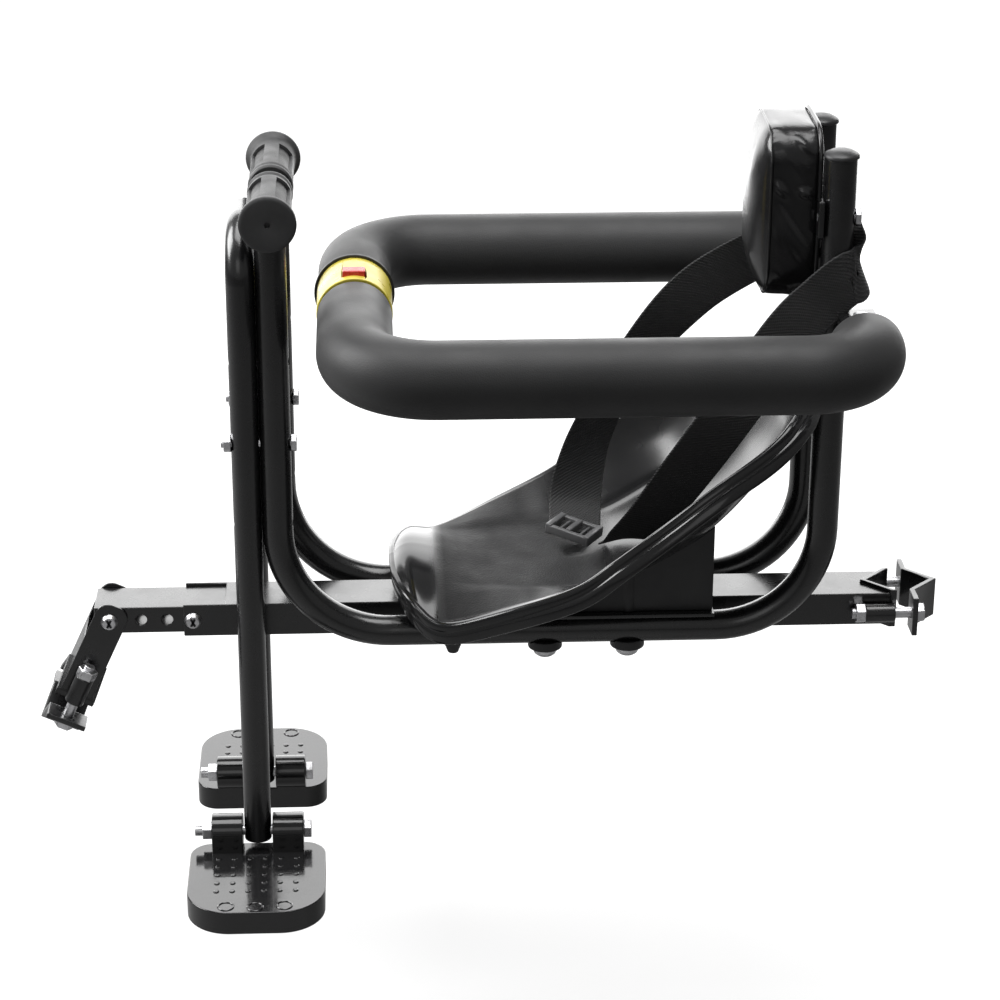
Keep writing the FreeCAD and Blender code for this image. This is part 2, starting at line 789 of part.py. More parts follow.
def tread_outline(sketch, inset):
    """Tread seen from above: square beside the leg, large rounded corners on the outside."""
    low = tread_out + inset
    high = tread_in - inset
    half = foot_half - inset
    bend = cell.foot_corner - inset
    first, last = -leg_axis - half, -leg_axis + half
    arc_low = low + bend
    left, right = first + bend, last - bend
    sides = [((first, arc_low), (first, high)), ((first, high), (last, high)),
             ((last, high), (last, arc_low)), ((right, low), (left, low))]
    start = len(sketch.Geometry)
    for (u0, v0), (u1, v1) in sides:
        sketch.addGeometry(Part.LineSegment(Vector(float(u0), float(v0), 0),
                                            Vector(float(u1), float(v1), 0)), False)
    for middle, angles in ((right, (-math.pi / 2, 0)), (left, (-math.pi, -math.pi / 2))):
        ring = Part.Circle(Vector(float(middle), float(arc_low), 0), Vector(0, 0, 1), float(bend))
        sketch.addGeometry(Part.ArcOfCircle(ring, *angles), False)
    joins = [(0, 2, 1, 1), (1, 2, 2, 1)]
    touches = [(2, 2, 4, 2), (3, 1, 4, 1), (3, 2, 5, 2), (0, 1, 5, 1)]
    for a, i, b, j in joins:
        sketch.addConstraint(Sketcher.Constraint("Coincident", start + a, i, start + b, j))
    for a, i, b, j in touches:
        sketch.addConstraint(Sketcher.Constraint("Tangent", start + a, i, start + b, j))
    hold(sketch, start, 2, first, high)
    hold(sketch, start + 2, 1, last, high)
    hold(sketch, start + 4, 3, right, arc_low)
    hold(sketch, start + 5, 3, left, arc_low)
    constrain(sketch, bend, "Radius", start + 4)


tread = new_body()
rim = sketch_on(tread, "XY_Plane", tread_low)
tread_outline(rim, ZERO)
pad(tread, rim, cell.foot_skirt)
under = sketch_on(tread, "XY_Plane", tread_top - cell.foot_wall)
tread_outline(under, cell.foot_wall)
hollow = tread.newObject("PartDesign::Pocket", name_of("pocket"))
hollow.Profile = under
hollow.Type = "ThroughAll"


def heel_edges(inset):
    """Test for the upright edges at the two inner corners, that far in from the tread's outline."""
    def test(edge):
        box = edge.BoundBox
        upright = box.ZLength > 1 and box.XLength < 0.1 and box.YLength < 0.1
        level = abs(box.YMin - float(tread_in - inset)) < 0.1
        ends = abs(abs(box.XMin + float(leg_axis)) - float(foot_half - inset)) < 0.1
        return upright and level and ends
    return test


fillet(tread, cell.foot_heel - cell.foot_wall, heel_edges(cell.foot_wall))
fillet(tread, cell.foot_heel, heel_edges(ZERO))
rib_low = tread_low + cell.foot_wall
ribs = sketch_on(tread, "XY_Plane", rib_low)
for step in (-1, 0, 1):
    middle = -leg_axis + foot_half / 2 * step
    rectangle(ribs, middle - cell.rib_thickness / 2, tread_out + cell.foot_corner,
              middle + cell.rib_thickness / 2, tread_in - cell.foot_wall / 2)
pad(tread, ribs, cell.foot_skirt - cell.foot_wall * 1.5)
studs = sketch_on(tread, "XY_Plane", tread_top)
for row in range(5):
    for column in range(6):
        circle(studs, cell.stud_diameter, -leg_axis + cell.stud_pitch * (column - 2.5),
               tread_out + cell.stud_margin + cell.stud_pitch * row)
pad(tread, studs, cell.stud_height)

knuckle_half = cell.knuckle_diameter / 2
foot_pieces = [tread]
for place_x in (-leg_axis - cell.knuckle_inset - cell.knuckle_length, -leg_axis + cell.knuckle_inset):
    foot_pieces.append(rod(cell.knuckle_diameter, cell.knuckle_length, place_x, -cell.half_track,
                           -cell.hinge_drop, "x"))
    foot_pieces.append(block(cell.knuckle_length, knuckle_half + cell.foot_inner,
                             cell.foot_drop + cell.foot_wall, place_x, -cell.half_track - knuckle_half,
                             tread_top - cell.foot_wall))
pin_start = -leg_axis - cell.knuckle_inset - cell.knuckle_length
pin_length = (cell.knuckle_inset + cell.knuckle_length) * 2
foot_bore = rod(pin_hole, pin_length, pin_start, -cell.half_track, -cell.hinge_drop, "x")
left_foot = node(cut(fuse(*foot_pieces), foot_bore), "left_footrest")
node(mirror(left_foot), "right_footrest")

pin_nut_height = cell.pin_diameter * float(cell.nut_share)
node(pair(bolt(cell.pin_diameter, cell.bolt_head_width, cell.bolt_head_height,
               pin_length + cell.fit_gap + pin_nut_height + cell.bolt_tail * 2,
               pin_start + pin_length + cell.fit_gap, -cell.half_track, -cell.hinge_drop, "x")),
     "footrest_pins")
node(pair(nut(cell.pin_diameter, cell.bolt_head_width, pin_nut_height,
              pin_start - pin_nut_height - cell.fit_gap, -cell.half_track, -cell.hinge_drop, "x")),
     "footrest_nuts")


# Seat shell: moulded bucket. Sections stand across a spine that starts under the nose, runs back
# along the pan and climbs the back. Each row gives the spine's place along the seat (0 nose,
# 1 back) and up it (0 pan, 1 top of the back), the section's lean in degrees from upright towards
# the front, its half width, and how far its side rises, as shares of the sizes named below.

SHELL_STATIONS = [
    (0.006, -0.15, 90, 0.68, -0.66),
    (0.000, -0.03, 78, 0.70, -0.64),
    (0.040, 0.085, 36, 0.72, -0.62),
    (0.130, 0.050, 6, 0.76, -0.50),
    (0.277, 0.000, 0, 0.86, 0.00),
    (0.450, 0.006, 10, 0.95, 0.48),
    (0.605, 0.070, 34, 0.99, 0.80),
    (0.778, 0.260, 55, 1.00, 1.00),
    (0.907, 0.530, 72, 0.98, 0.90),
    (0.972, 0.800, 82, 0.88, 0.50),
    (1.000, 1.000, 90, 0.70, 0.10),
]
# Half of one section, from the middle to the lip's edge: share of the half width, share of the
# side's rise, share of the lip's drop.
SECTION_SHAPE = [
    (0.00, 0.00, 0.00), (0.36, 0.02, 0.00), (0.66, 0.17, 0.00), (0.83, 0.52, 0.00),
    (0.915, 0.88, 0.00), (0.965, 1.00, 0.02), (0.995, 1.00, 0.25), (1.00, 1.00, 1.00),
]

seat_length = float(cell.nose_reach) - float(cell.back_reach)
seat_climb = float(cell.back_height) - float(cell.pan_height)


def section_points(station, depth):
    """One section's curve from lip to lip, moved in by depth along its own normal."""
    along, up, lean, width, rise = station
    lip = float(cell.lip_drop)
    half = [Vector(y * width * float(cell.seat_half),
                   n * rise * float(cell.side_rise) - drop * lip, 0) for y, n, drop in SECTION_SHAPE]
    flat = [Vector(-point.x, point.y, 0) for point in half[:0:-1]] + half
    moved = []
    for index, point in enumerate(flat):
        before = flat[max(index - 1, 0)]
        after = flat[min(index + 1, len(flat) - 1)]
        run = (after - before).normalize()
        moved.append(point + Vector(run.y, -run.x, 0) * depth)
    turn = math.radians(lean)
    across = Vector(-math.sin(turn), 0, math.cos(turn))
    foot = Vector(-float(cell.nose_reach) + along * seat_length, 0,
                  float(cell.pan_height) + up * seat_climb)
    return [foot + Vector(0, point.x, 0) + across * point.y for point in moved]


def shares_along(points):
    """How far along its chords each point lies, from 0 to 1."""
    reach = [0.0]
    for before, after in zip(points, points[1:]):
        reach.append(reach[-1] + (after - before).Length)
    return [length / reach[-1] for length in reach]


# Every section's curve is timed as the widest one, so that the loft's faces stay simple
curve_times = shares_along(section_points(max(SHELL_STATIONS, key=lambda station: station[4]), 0))


def curve_through(points):
    curve = Part.BSplineCurve()
    curve.interpolate(Points=points, Parameters=curve_times)
    return curve.toShape()


def shell_section(station):
    upper = section_points(station, 0)
    lower = section_points(station, float(cell.shell_wall))
    return Part.Wire([curve_through(upper), Part.makeLine(upper[-1], lower[-1]),
                      curve_through(lower).reversed(), Part.makeLine(lower[0], upper[0])])


def filled_section(station):
    """The section's underside, closed well above the rim."""
    lower = section_points(station, float(cell.shell_wall) + float(cell.riser_gap))
    turn = math.radians(station[2])
    lift = Vector(-math.sin(turn), 0, math.cos(turn)) * float(cell.side_rise) * 1.5
    rim = [lower[-1], lower[-1] + lift, lower[0] + lift, lower[0]]
    return Part.Wire([curve_through(lower), *Part.makePolygon(rim).Edges])


shell = doc.addObject("Part::Feature", "seat_shell")
shell.Shape = Part.makeLoft([shell_section(station) for station in SHELL_STATIONS], True, False)
shell.Placement = Placement()
node(shell, "seat_shell")

# Riser: moulded box between the tie plate and the underside of the shell

bowl = doc.addObject("Part::Feature", "bowl")
bowl.Shape = Part.makeLoft([filled_section(station) for station in SHELL_STATIONS[3:9]], True, False)
riser_low = beam_top + cell.plate_thickness
riser_high = cell.pan_height * 2
outside = block(cell.riser_front - cell.riser_rear, cell.riser_half * 2, riser_high - riser_low,
                -cell.riser_front, -cell.riser_half, riser_low)
inside_half = cell.riser_half - cell.riser_wall
inside = block(cell.riser_front - cell.riser_rear - cell.riser_wall * 2, inside_half * 2,
               riser_high - riser_low, -cell.riser_front + cell.riser_wall, -inside_half, riser_low)
bosses = []
for spot in bolt_places:
    for side in (-cell.half_track, cell.half_track):
        bosses.append(rod(cell.boss_diameter, riser_high - riser_low, -spot, side, riser_low, "z"))
boss_drills = [rod(screw_hole, cell.boss_depth, -spot, side, riser_low, "z")
               for spot in bolt_places for side in (-cell.half_track, cell.half_track)]
node(cut(cut(fuse(cut(outside, inside), *bosses), bowl), *boss_drills), "seat_riser")

# Seat bolts from below, each through a half-round saddle washer that fits the tube

saddle_low = run_height - tube_half - cell.saddle_height / 2
tube_clear = cell.tube_diameter + cell.fit_gap * 2
saddles = []
bolts = []
for spot in bolt_places:
    washer = rod(cell.saddle_width, cell.saddle_height, -spot, -cell.half_track, saddle_low, "z")
    run = rod(tube_clear, cell.saddle_width * 2, -spot - cell.saddle_width, -cell.half_track, run_height, "x")
    bore = rod(screw_hole, cell.saddle_height, -spot, -cell.half_track, saddle_low, "z")
    saddles.append(cut(washer, run, bore))
    bolts.append(pan_bolt(cell.screw_diameter, cell.bolt_head_width, cell.bolt_head_height,
                          riser_low + cell.screw_diameter * 2 - saddle_low,
                          -spot, -cell.half_track, saddle_low, "z"))
node(group(*saddles, *[mirror(item) for item in saddles]), "saddle_washers")
node(group(*bolts, *[mirror(item) for item in bolts]), "seat_bolts")
plug_low = run_height - tube_half - cell.saddle_height
plug = cut(cone(cell.plug_tip, cell.plug_diameter, cell.plug_height, -cell.plug_place,
                -cell.half_track, plug_low, "z"),
           rod(tube_clear, cell.saddle_width, -cell.plug_place - cell.saddle_width / 2, -cell.half_track,
               run_height, "x"))
node(pair(plug), "tube_plugs")


# Backrest: cushion on a board with a cross strip, bolted to the front of the posts

board_rear = cell.rear_post + tube_half
board_front = board_rear + cell.board_thickness
cushion_half = cell.cushion_width / 2
cushion_top = cell.cushion_bottom + cell.cushion_height
body = new_body()
face = sketch_on(body, "YZ_Plane", -board_front)
rectangle(face, -cushion_half, cell.cushion_bottom, cushion_half, cushion_top)
pad(body, face, cell.cushion_depth, reverse=True)
fillet(body, cell.cushion_corner, lambda edge: edge.BoundBox.XLength > 1)
front_face = -float(board_front)
fillet(body, cell.cushion_crown,
       lambda edge: edge.BoundBox.XMax < front_face - 1 and edge.BoundBox.XLength < 1)
node(body, "backrest_cushion")

board_bottom = cell.cushion_bottom + cell.board_margin
board_half = cushion_half - cell.board_margin
body = new_body()
face = sketch_on(body, "YZ_Plane", -board_rear)
rectangle(face, -board_half, board_bottom, board_half, cushion_top - cell.board_margin)
pad(body, face, cell.board_thickness, reverse=True)
fillet(body, cell.cushion_corner - cell.board_margin, lambda edge: edge.BoundBox.XLength > 1)
strip = block(cell.board_thickness, cell.strip_half * 2, cell.strip_height, -board_front, -cell.strip_half,
              cell.board_bolt_height - cell.strip_height / 2)
strip_drills = [rod(screw_hole, cell.board_thickness, -board_front, side, cell.board_bolt_height, "x")
                for side in (-cell.half_track, cell.half_track)]
node(cut(fuse(body, strip), *strip_drills), "backrest_board")
post_rear = cell.rear_post - tube_half
node(pair(bolt(cell.screw_diameter, cell.screw_head_width, cell.screw_head_height,
               cell.tube_diameter + cell.board_thickness, -post_rear, -cell.half_track,
               cell.board_bolt_height, "x")), "backrest_bolts")


# Guardrail: two halves, each a bent steel core in a foam sleeve, hinged at the posts

foam_bore = cell.core_diameter + cell.fit_gap * 2
eye_half = cell.eye_diameter / 2
sleeve_far = cell.sleeve_length - cell.sleeve_start
rim_far = sleeve_far + cell.rim_length
near_end = cell.sleeve_start + cell.mouth_gap + cell.tongue_disc


def rail_half_core(side, front_end):
    """Core from the front of the rail to its hinge eye; side is -1 on the left, +1 on the right."""
    core = new_body()
    way = sketch_on(core, "XY_Plane", cell.rail_height)
    bent_path(way, [(-cell.rail_front, front_end), (-cell.rail_front, cell.rail_half * side),
                    (-cell.rail_rear, cell.rail_half * side), (-cell.rail_rear, cell.hinge_offset * side)],
              [cell.rail_bend, cell.rail_bend])
    ring = sketch_on(core, "XZ_Plane", -front_end)
    circle(ring, cell.core_diameter, -cell.rail_front, cell.rail_height)
    pipe(core, ring, way)
    eye = rod(cell.eye_diameter, cell.eye_height, -cell.rail_rear, cell.hinge_offset * side,
              cell.rail_height - cell.eye_height / 2, "z")
    bore = rod(pin_hole, cell.eye_height, -cell.rail_rear, cell.hinge_offset * side,
               cell.rail_height - cell.eye_height / 2, "z")
    return cut(fuse(core, eye), bore)


def rail_half_foam(side, front_end):
    foam = new_body()
    way = sketch_on(foam, "XY_Plane", cell.rail_height)
    bent_path(way, [(-cell.rail_front, front_end), (-cell.rail_front, cell.rail_half * side),
                    (-cell.rail_rear, cell.rail_half * side),
                    (-cell.rail_rear, (cell.hinge_offset + cell.foam_tail) * side)],
              [cell.rail_bend, cell.rail_bend])
    ring = sketch_on(foam, "XZ_Plane", -front_end)
    circle(ring, cell.foam_diameter, -cell.rail_front, cell.rail_height)
    circle(ring, foam_bore, -cell.rail_front, cell.rail_height)
    pipe(foam, ring, way)
    return foam


node(rail_half_core(-1, -near_end), "left_rail_core")
node(rail_half_core(1, sleeve_far + cell.fit_gap), "right_rail_core")
node(rail_half_foam(-1, -near_end), "left_rail_foam")
node(rail_half_foam(1, rim_far + cell.fit_gap), "right_rail_foam")

# Hinge bracket: two plates on a web that is coped to the post, with a pin through the core's eye

plate_gap = cell.eye_height / 2 + cell.fit_gap
bracket_half = plate_gap + cell.bracket_plate
bracket_front = cell.rail_rear + eye_half + cell.bracket_plate
bracket_rear = cell.rail_rear - eye_half - cell.bracket_plate / 3
bracket_out = cell.hinge_offset + eye_half
web_out = cell.hinge_offset - eye_half - cell.mouth_gap
web_in = web_out - cell.bracket_web
clip = block(bracket_front - bracket_rear, bracket_out - web_in, bracket_half * 2,
             -bracket_front, -bracket_out, cell.rail_height - bracket_half)
slot = block(bracket_front - bracket_rear, bracket_out - web_out, plate_gap * 2,
             -bracket_front, -bracket_out, cell.rail_height - plate_gap)
post = rod(cell.tube_diameter, bracket_half * 2, -cell.rear_post, -cell.half_track,
           cell.rail_height - bracket_half, "z")
pin_bore = rod(pin_hole, bracket_half * 2, -cell.rail_rear, -cell.hinge_offset,
               cell.rail_height - bracket_half, "z")
node(pair(cut(clip, slot, post, pin_bore)), "rail_brackets")
node(pair(fuse(rod(cell.pin_diameter, bracket_half * 2, -cell.rail_rear, -cell.hinge_offset,
                   cell.rail_height - bracket_half, "z"),
               rod(cell.screw_head_width, cell.bracket_plate, -cell.rail_rear, -cell.hinge_offset,
                   cell.rail_height + bracket_half, "z"))), "rail_pins")

# Buckle: yellow sleeve and black rim on the right half, tongue on the left half, red button on top

sleeve_bore = cell.sleeve_diameter - cell.sleeve_wall * 2
button_x = -cell.rail_front - cell.button_length / 2
button_y = cell.button_place - cell.button_width / 2
button_top = cell.rail_height + cell.sleeve_diameter / 2 + cell.button_proud
slot_gap = cell.fit_gap
sleeve = cut(rod(cell.sleeve_diameter, cell.sleeve_length, -cell.rail_front, -cell.sleeve_start,
                 cell.rail_height, "y"),
             rod(sleeve_bore, cell.sleeve_length, -cell.rail_front, -cell.sleeve_start,
                 cell.rail_height, "y"),
             block(cell.button_length + slot_gap * 2, cell.button_width + slot_gap * 2,
                   cell.sleeve_diameter, button_x - slot_gap, button_y - slot_gap, cell.rail_height))
node(sleeve, "buckle_sleeve")
rim_disc = cut(rod(cell.rim_diameter, cell.rim_length, -cell.rail_front, sleeve_far, cell.rail_height, "y"),
               rod(cell.core_diameter + cell.fit_gap, cell.rim_length, -cell.rail_front, sleeve_far,
                   cell.rail_height, "y"))
node(rim_disc, "buckle_rim")
disc_start = -near_end
node(fuse(rod(cell.tongue_flange, cell.tongue_disc, -cell.rail_front, disc_start, cell.rail_height, "y"),
          cone(cell.tongue_root, cell.tongue_tip, cell.tongue_length, -cell.rail_front,
               disc_start + cell.tongue_disc, cell.rail_height, "y")), "buckle_tongue")
flange_x = cell.button_length + cell.button_flange * 2
flange_y = cell.button_width + cell.button_flange * 2
node(fuse(block(cell.button_length, cell.button_width, cell.button_depth, button_x, button_y,
                button_top - cell.button_depth),
          block(flange_x, flange_y, cell.button_flange, button_x - cell.button_flange,
                button_y - cell.button_flange, button_top - cell.button_depth - cell.button_flange)),
     "release_button")


# Harness: two webbing straps from the posts to a buckle that lies on the pan. Each row of a route
# is a point of the strap's middle line and the way its width points.

def strap(label, side, route):
    width = float(cell.strap_width)
    thick = float(cell.strap_thickness)
    wires = []
    for index, (spot, across) in enumerate(route):
        spot = Vector(spot[0], spot[1] * side, spot[2])
        before = route[max(index - 1, 0)][0]
        after = route[min(index + 1, len(route) - 1)][0]
        run = Vector(after[0] - before[0], (after[1] - before[1]) * side, after[2] - before[2]).normalize()
        wide = Vector(across[0], across[1] * side, across[2])
        wide = (wide - run * wide.dot(run)).normalize() * (width / 2)
        deep = run.cross(wide).normalize() * (thick / 2)
        corners = [spot - wide - deep, spot + wide - deep, spot + wide + deep, spot - wide + deep]
        wires.append(Part.makePolygon(corners + corners[:1]))
    item = doc.addObject("Part::Feature", label)
    item.Shape = Part.makeLoft(wires, True, True)
    item.Placement = Placement()
    return node(item, label)


post_x = -float(cell.rear_post)
wrap = float(cell.half_track + tube_half + cell.strap_thickness / 2 + cell.fit_gap)
pan_rest = float(cell.pan_height) + float(cell.strap_thickness) * 3
LEFT_ROUTE = [
    ((post_x + 12, wrap, 288), (0.6, 0, -0.8)),
    ((post_x - 16, wrap, 267), (0.8, 0, -0.6)),
    ((-138, 66, 172), (0.85, 0, -0.5)),
    ((-178, 54, 107), (0.88, -0.1, -0.4)),
    ((-200, 44, pan_rest + 26), (0.9, -0.3, -0.2)),
    ((-212, 36, pan_rest + 16), (0.85, -0.5, 0)),
]
RIGHT_ROUTE = [
    ((post_x + 12, wrap, 288), (0.6, 0, -0.8)),
    ((post_x - 16, wrap, 267), (0.7, 0, -0.7)),
    ((-155, 66, 221), (0.7, 0, -0.7)),
    ((-229, 52, 119), (0.9, 0, -0.4)),
    ((-243, 44, 84), (1, 0, -0.1)),
    ((-243, 32, pan_rest + 14), (1, 0, 0)),
]
strap("left_strap", -1, LEFT_ROUTE)
strap("right_strap", 1, RIGHT_ROUTE)
buckle = block(cell.buckle_length, cell.buckle_width, cell.buckle_height,
               -cell.front_seat_bolt, -cell.buckle_width / 2, cell.pan_height + cell.buckle_lift)
node(buckle, "harness_buckle")


# Check every object, then write one file for each sub-part

doc.recompute()
for item in doc.Objects:
    bad = [state for state in item.State if state in ("Invalid", "Error")]
    if bad:
        raise RuntimeError("%s (%s) failed: %s" % (item.Name, item.Label, item.State))
for item in nodes:
    if item.Shape.isNull() or not item.Shape.isValid():
        raise RuntimeError("%s has no valid shape" % item.Label)
os.makedirs("parts", exist_ok=True)
for item in nodes:
    item.Shape.exportStep("parts/%s.step" % item.Label)
print("%d sub-parts written" % len(nodes))
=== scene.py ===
import json
import math

import bmesh
import bpy
from mathutils import Matrix, Vector, noise


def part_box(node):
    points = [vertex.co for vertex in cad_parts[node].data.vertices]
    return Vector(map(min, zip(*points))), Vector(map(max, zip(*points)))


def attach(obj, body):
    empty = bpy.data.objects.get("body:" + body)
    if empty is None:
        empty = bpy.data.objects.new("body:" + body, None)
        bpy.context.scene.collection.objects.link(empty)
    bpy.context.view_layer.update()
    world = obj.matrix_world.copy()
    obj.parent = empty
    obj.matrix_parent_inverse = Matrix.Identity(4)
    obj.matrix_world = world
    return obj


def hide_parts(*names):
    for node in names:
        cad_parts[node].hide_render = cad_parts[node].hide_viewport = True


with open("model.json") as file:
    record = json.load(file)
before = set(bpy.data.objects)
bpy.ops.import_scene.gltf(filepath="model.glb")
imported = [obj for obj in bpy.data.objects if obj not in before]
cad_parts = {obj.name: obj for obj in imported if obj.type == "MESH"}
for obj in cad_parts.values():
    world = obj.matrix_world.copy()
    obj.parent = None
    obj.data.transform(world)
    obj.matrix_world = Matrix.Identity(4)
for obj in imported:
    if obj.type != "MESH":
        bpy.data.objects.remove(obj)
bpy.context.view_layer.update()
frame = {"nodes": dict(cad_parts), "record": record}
node_of = frame["nodes"]

# Steel frame: bent round tubes, the rectangular beam with its extension, the front arm, the clamps
# and the brackets. All of it is mild steel under gloss black powder coat, which lies slightly
# uneven and softens the edges of the flat parts.


def new_finish(name, colour, roughness, sockets=None):
    """Node material whose constant values sit on the shader's own sockets."""
    finish = bpy.data.materials.new(name)
    finish.use_nodes = True
    tree = finish.node_tree
    shader = tree.nodes["Principled BSDF"]
    shader.inputs["Base Color"].default_value = (*colour, 1)
    shader.inputs["Roughness"].default_value = roughness
    for socket, value in (sockets or {}).items():
        shader.inputs[socket].default_value = value
    return finish, tree, shader


def add(tree, kind, inputs=None, **settings):
    """Adds one node; an input is a value or the socket that feeds it."""
    item = tree.nodes.new(kind)
    for key, value in settings.items():
        setattr(item, key, value)
    for key, value in (inputs or {}).items():
        if isinstance(value, bpy.types.NodeSocket):
            tree.links.new(value, item.inputs[key])
        else:
            item.inputs[key].default_value = value
    return item


def place_on(tree):
    """Place on the piece, in metres."""
    return add(tree, "ShaderNodeTexCoord").outputs["Object"]


def cloud(tree, where, per_metre, detail=2.0):
    """Noise with so many patches to the metre."""
    return add(tree, "ShaderNodeTexNoise",
               {"Vector": where, "Scale": per_metre, "Detail": detail}).outputs["Fac"]


def mottle(tree, where, per_metre, low, high, detail=3.0):
    """Soft patches that run between two values."""
    return add(tree, "ShaderNodeMapRange", {"Value": cloud(tree, where, per_metre, detail), "From Min": 0.3,
                                            "From Max": 0.7, "To Min": low, "To Max": high}).outputs["Result"]


def tint(tree, amount, dark, light):
    """Colour between two shades of one finish."""
    shades = add(tree, "ShaderNodeValToRGB", {"Fac": amount})
    shades.color_ramp.elements[0].color = (*dark, 1)
    shades.color_ramp.elements[1].color = (*light, 1)
    return shades.outputs["Color"]


def vary(tree, shader, rough, colour, detail=3.0):
    """Lets roughness and colour drift; each gives its patches to the metre and its two ends."""
    where = place_on(tree)
    per_metre, dark, light = colour
    tree.links.new(mottle(tree, where, *rough), shader.inputs["Roughness"])
    tree.links.new(tint(tree, mottle(tree, where, per_metre, 0, 1, detail), dark, light),
                   shader.inputs["Base Color"])
    return where


def relief(tree, shader, height, depth, strength=1.0, edge=0.0):
    """Bump of a real depth in metres; edge rounds the corners of flat parts by that radius."""
    bump = add(tree, "ShaderNodeBump", {"Height": height, "Distance": depth, "Strength": strength})
    if edge:
        rounded = add(tree, "ShaderNodeBevel", {"Radius": edge}, samples=4)
        tree.links.new(rounded.outputs["Normal"], bump.inputs["Normal"])
    tree.links.new(bump.outputs["Normal"], shader.inputs["Normal"])


def paint(finish, *names):
    """Gives CAD nodes a finish."""
    for name in names:
        node_of[name].material_slots[0].material = finish


powder_coat, tree, shader = new_finish(
    "black_powder_coat", (0.006, 0.006, 0.0065), 0.34,
    {"Coat Weight": 0.55, "Coat Roughness": 0.16, "Specular IOR Level": 0.5})
where = vary(tree, shader, (55, 0.22, 0.35), (18, (0.0045, 0.0045, 0.005), (0.009, 0.009, 0.0095)))
relief(tree, shader, cloud(tree, where, 420), 0.0003, 0.12, edge=0.0009)
paint(powder_coat, "left_frame_tube", "right_frame_tube", "leg_arch", "handlebar")

WELD, FLAT_ANGLE, SHARP_ANGLE, SMOOTH_ANGLE = 1e-6, math.radians(1), math.radians(38), math.radians(35)


def put(name, data):
    """Adds an object with this data to the scene."""
    item = bpy.data.objects.new(name, data)
    bpy.context.scene.collection.objects.link(item)
    return item


def as_mesh(name, shell):
    """Turns a bmesh into a mesh."""
    mesh = bpy.data.meshes.new(name)
    shell.to_mesh(mesh)
    shell.free()
    return mesh


def settle(name, mesh, finish, body, stands_for=()):
    """Makes a mesh into a finished piece that rides on a body and stands for CAD nodes."""
    mesh.materials.clear()
    mesh.materials.append(finish)
    mesh.shade_smooth()
    mesh.set_sharp_from_angle(angle=SMOOTH_ANGLE)
    piece = put(name, mesh)
    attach(piece, body)
    if stands_for:
        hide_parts(*stands_for)
    return piece


def loose_mesh(name, shell, finish, body, stands_for=()):
    """Makes a bmesh into a finished piece."""
    return settle(name, as_mesh(name, shell), finish, body, stands_for)


def soften(name, body, width, finish, segments=2):
    """Copy of a rigid CAD node with its sharp outer edges broken, as a deburred part has them."""
    shell = bmesh.new()
    shell.from_mesh(node_of[name].data)
    bmesh.ops.remove_doubles(shell, verts=shell.verts, dist=WELD)
    bmesh.ops.dissolve_limit(shell, angle_limit=FLAT_ANGLE, verts=shell.verts, edges=shell.edges)
    sharp = [edge for edge in shell.edges
             if len(edge.link_faces) == 2 and edge.calc_face_angle() > SHARP_ANGLE and edge.is_convex]
    bmesh.ops.bevel(shell, geom=sharp, offset=width, segments=segments, profile=0.5, affect="EDGES",
                    clamp_overlap=False)
    piece = loose_mesh(name + "_finished", shell, finish, body, (name,))
    piece.modifiers.new("flat_faces_stay_flat", "WEIGHTED_NORMAL").keep_sharp = True


STEEL_EDGE = 0.0007
body_of = {name: body for body, names in frame["record"]["behaviour"]["bodies"].items() for name in names}
for name in ("main_beam", "front_extension", "front_arm", "rear_v_seat", "front_v_seat", "rear_jaw",
             "front_jaw", "rear_bushes", "front_bushes", "rail_brackets", "backrest_board", "tie_plate"):
    soften(name, body_of[name], STEEL_EDGE, powder_coat)

# Bolts, nuts and pins: cold-formed steel with bright zinc plate, a little cloudy and scuffed on
# the flats. The guardrail's cores are the same bare plated steel where they leave the foam.
zinc, tree, shader = new_finish("bright_zinc", (0.66, 0.66, 0.68), 0.3, {"Metallic": 1.0})
where = vary(tree, shader, (260, 0.2, 0.42), (140, (0.56, 0.56, 0.57), (0.74, 0.74, 0.76)))
relief(tree, shader, cloud(tree, where, 900, 3.0), 0.0002, 0.25, edge=0.0006)
BOLT_EDGE = 0.0005
for name in ("rear_jaw_bolts", "rear_jaw_nuts", "front_jaw_bolts", "front_jaw_nuts", "extension_bolt",
             "extension_nut", "arm_pivot_bolt", "arm_pivot_nut", "leg_bolts", "leg_nuts", "footrest_pins",
             "footrest_nuts", "backrest_bolts", "rail_pins"):
    soften(name, body_of[name], BOLT_EDGE, zinc)
paint(zinc, "left_rail_core", "right_rail_core")


def turned(shell, profile, foot, axis, steps):
    """Adds a surface of revolution: profile is radius and height, from one end to the other."""
    axis = Vector(axis).normalized()
    side = axis.orthogonal().normalized()
    other = axis.cross(side)
    rings = []
    for radius, height in profile:
        centre = Vector(foot) + axis * height
        if radius < 1e-6:
            rings.append([shell.verts.new(centre)])
            continue
        angles = [2 * math.pi * step / steps for step in range(steps)]
        rings.append([shell.verts.new(centre + (side * math.cos(a) + other * math.sin(a)) * radius)
                      for a in angles])
    for low, high in zip(rings, rings[1:]):
        for step in range(steps):
            after = (step + 1) % steps
            corners = [low[step % len(low)], low[after % len(low)],
                       high[after % len(high)], high[step % len(high)]]
            shell.faces.new(dict.fromkeys(corners))
    return rings


# painted shade: near-black finish for the screws' cross slots, in place of the shade inside them
recess_shade_finish, tree, shader = new_finish("painted_recess_shade", (0.05, 0.05, 0.052), 0.6, {"Metallic": 1.0})
tree.links.new(mottle(tree, place_on(tree), 500, 0.5, 0.7), shader.inputs["Roughness"])
CROSS_HALF, CROSS_WIDE, CROSS_DEEP, CROSS_TURN = 0.0031, 0.0008, 0.0004, 0.35
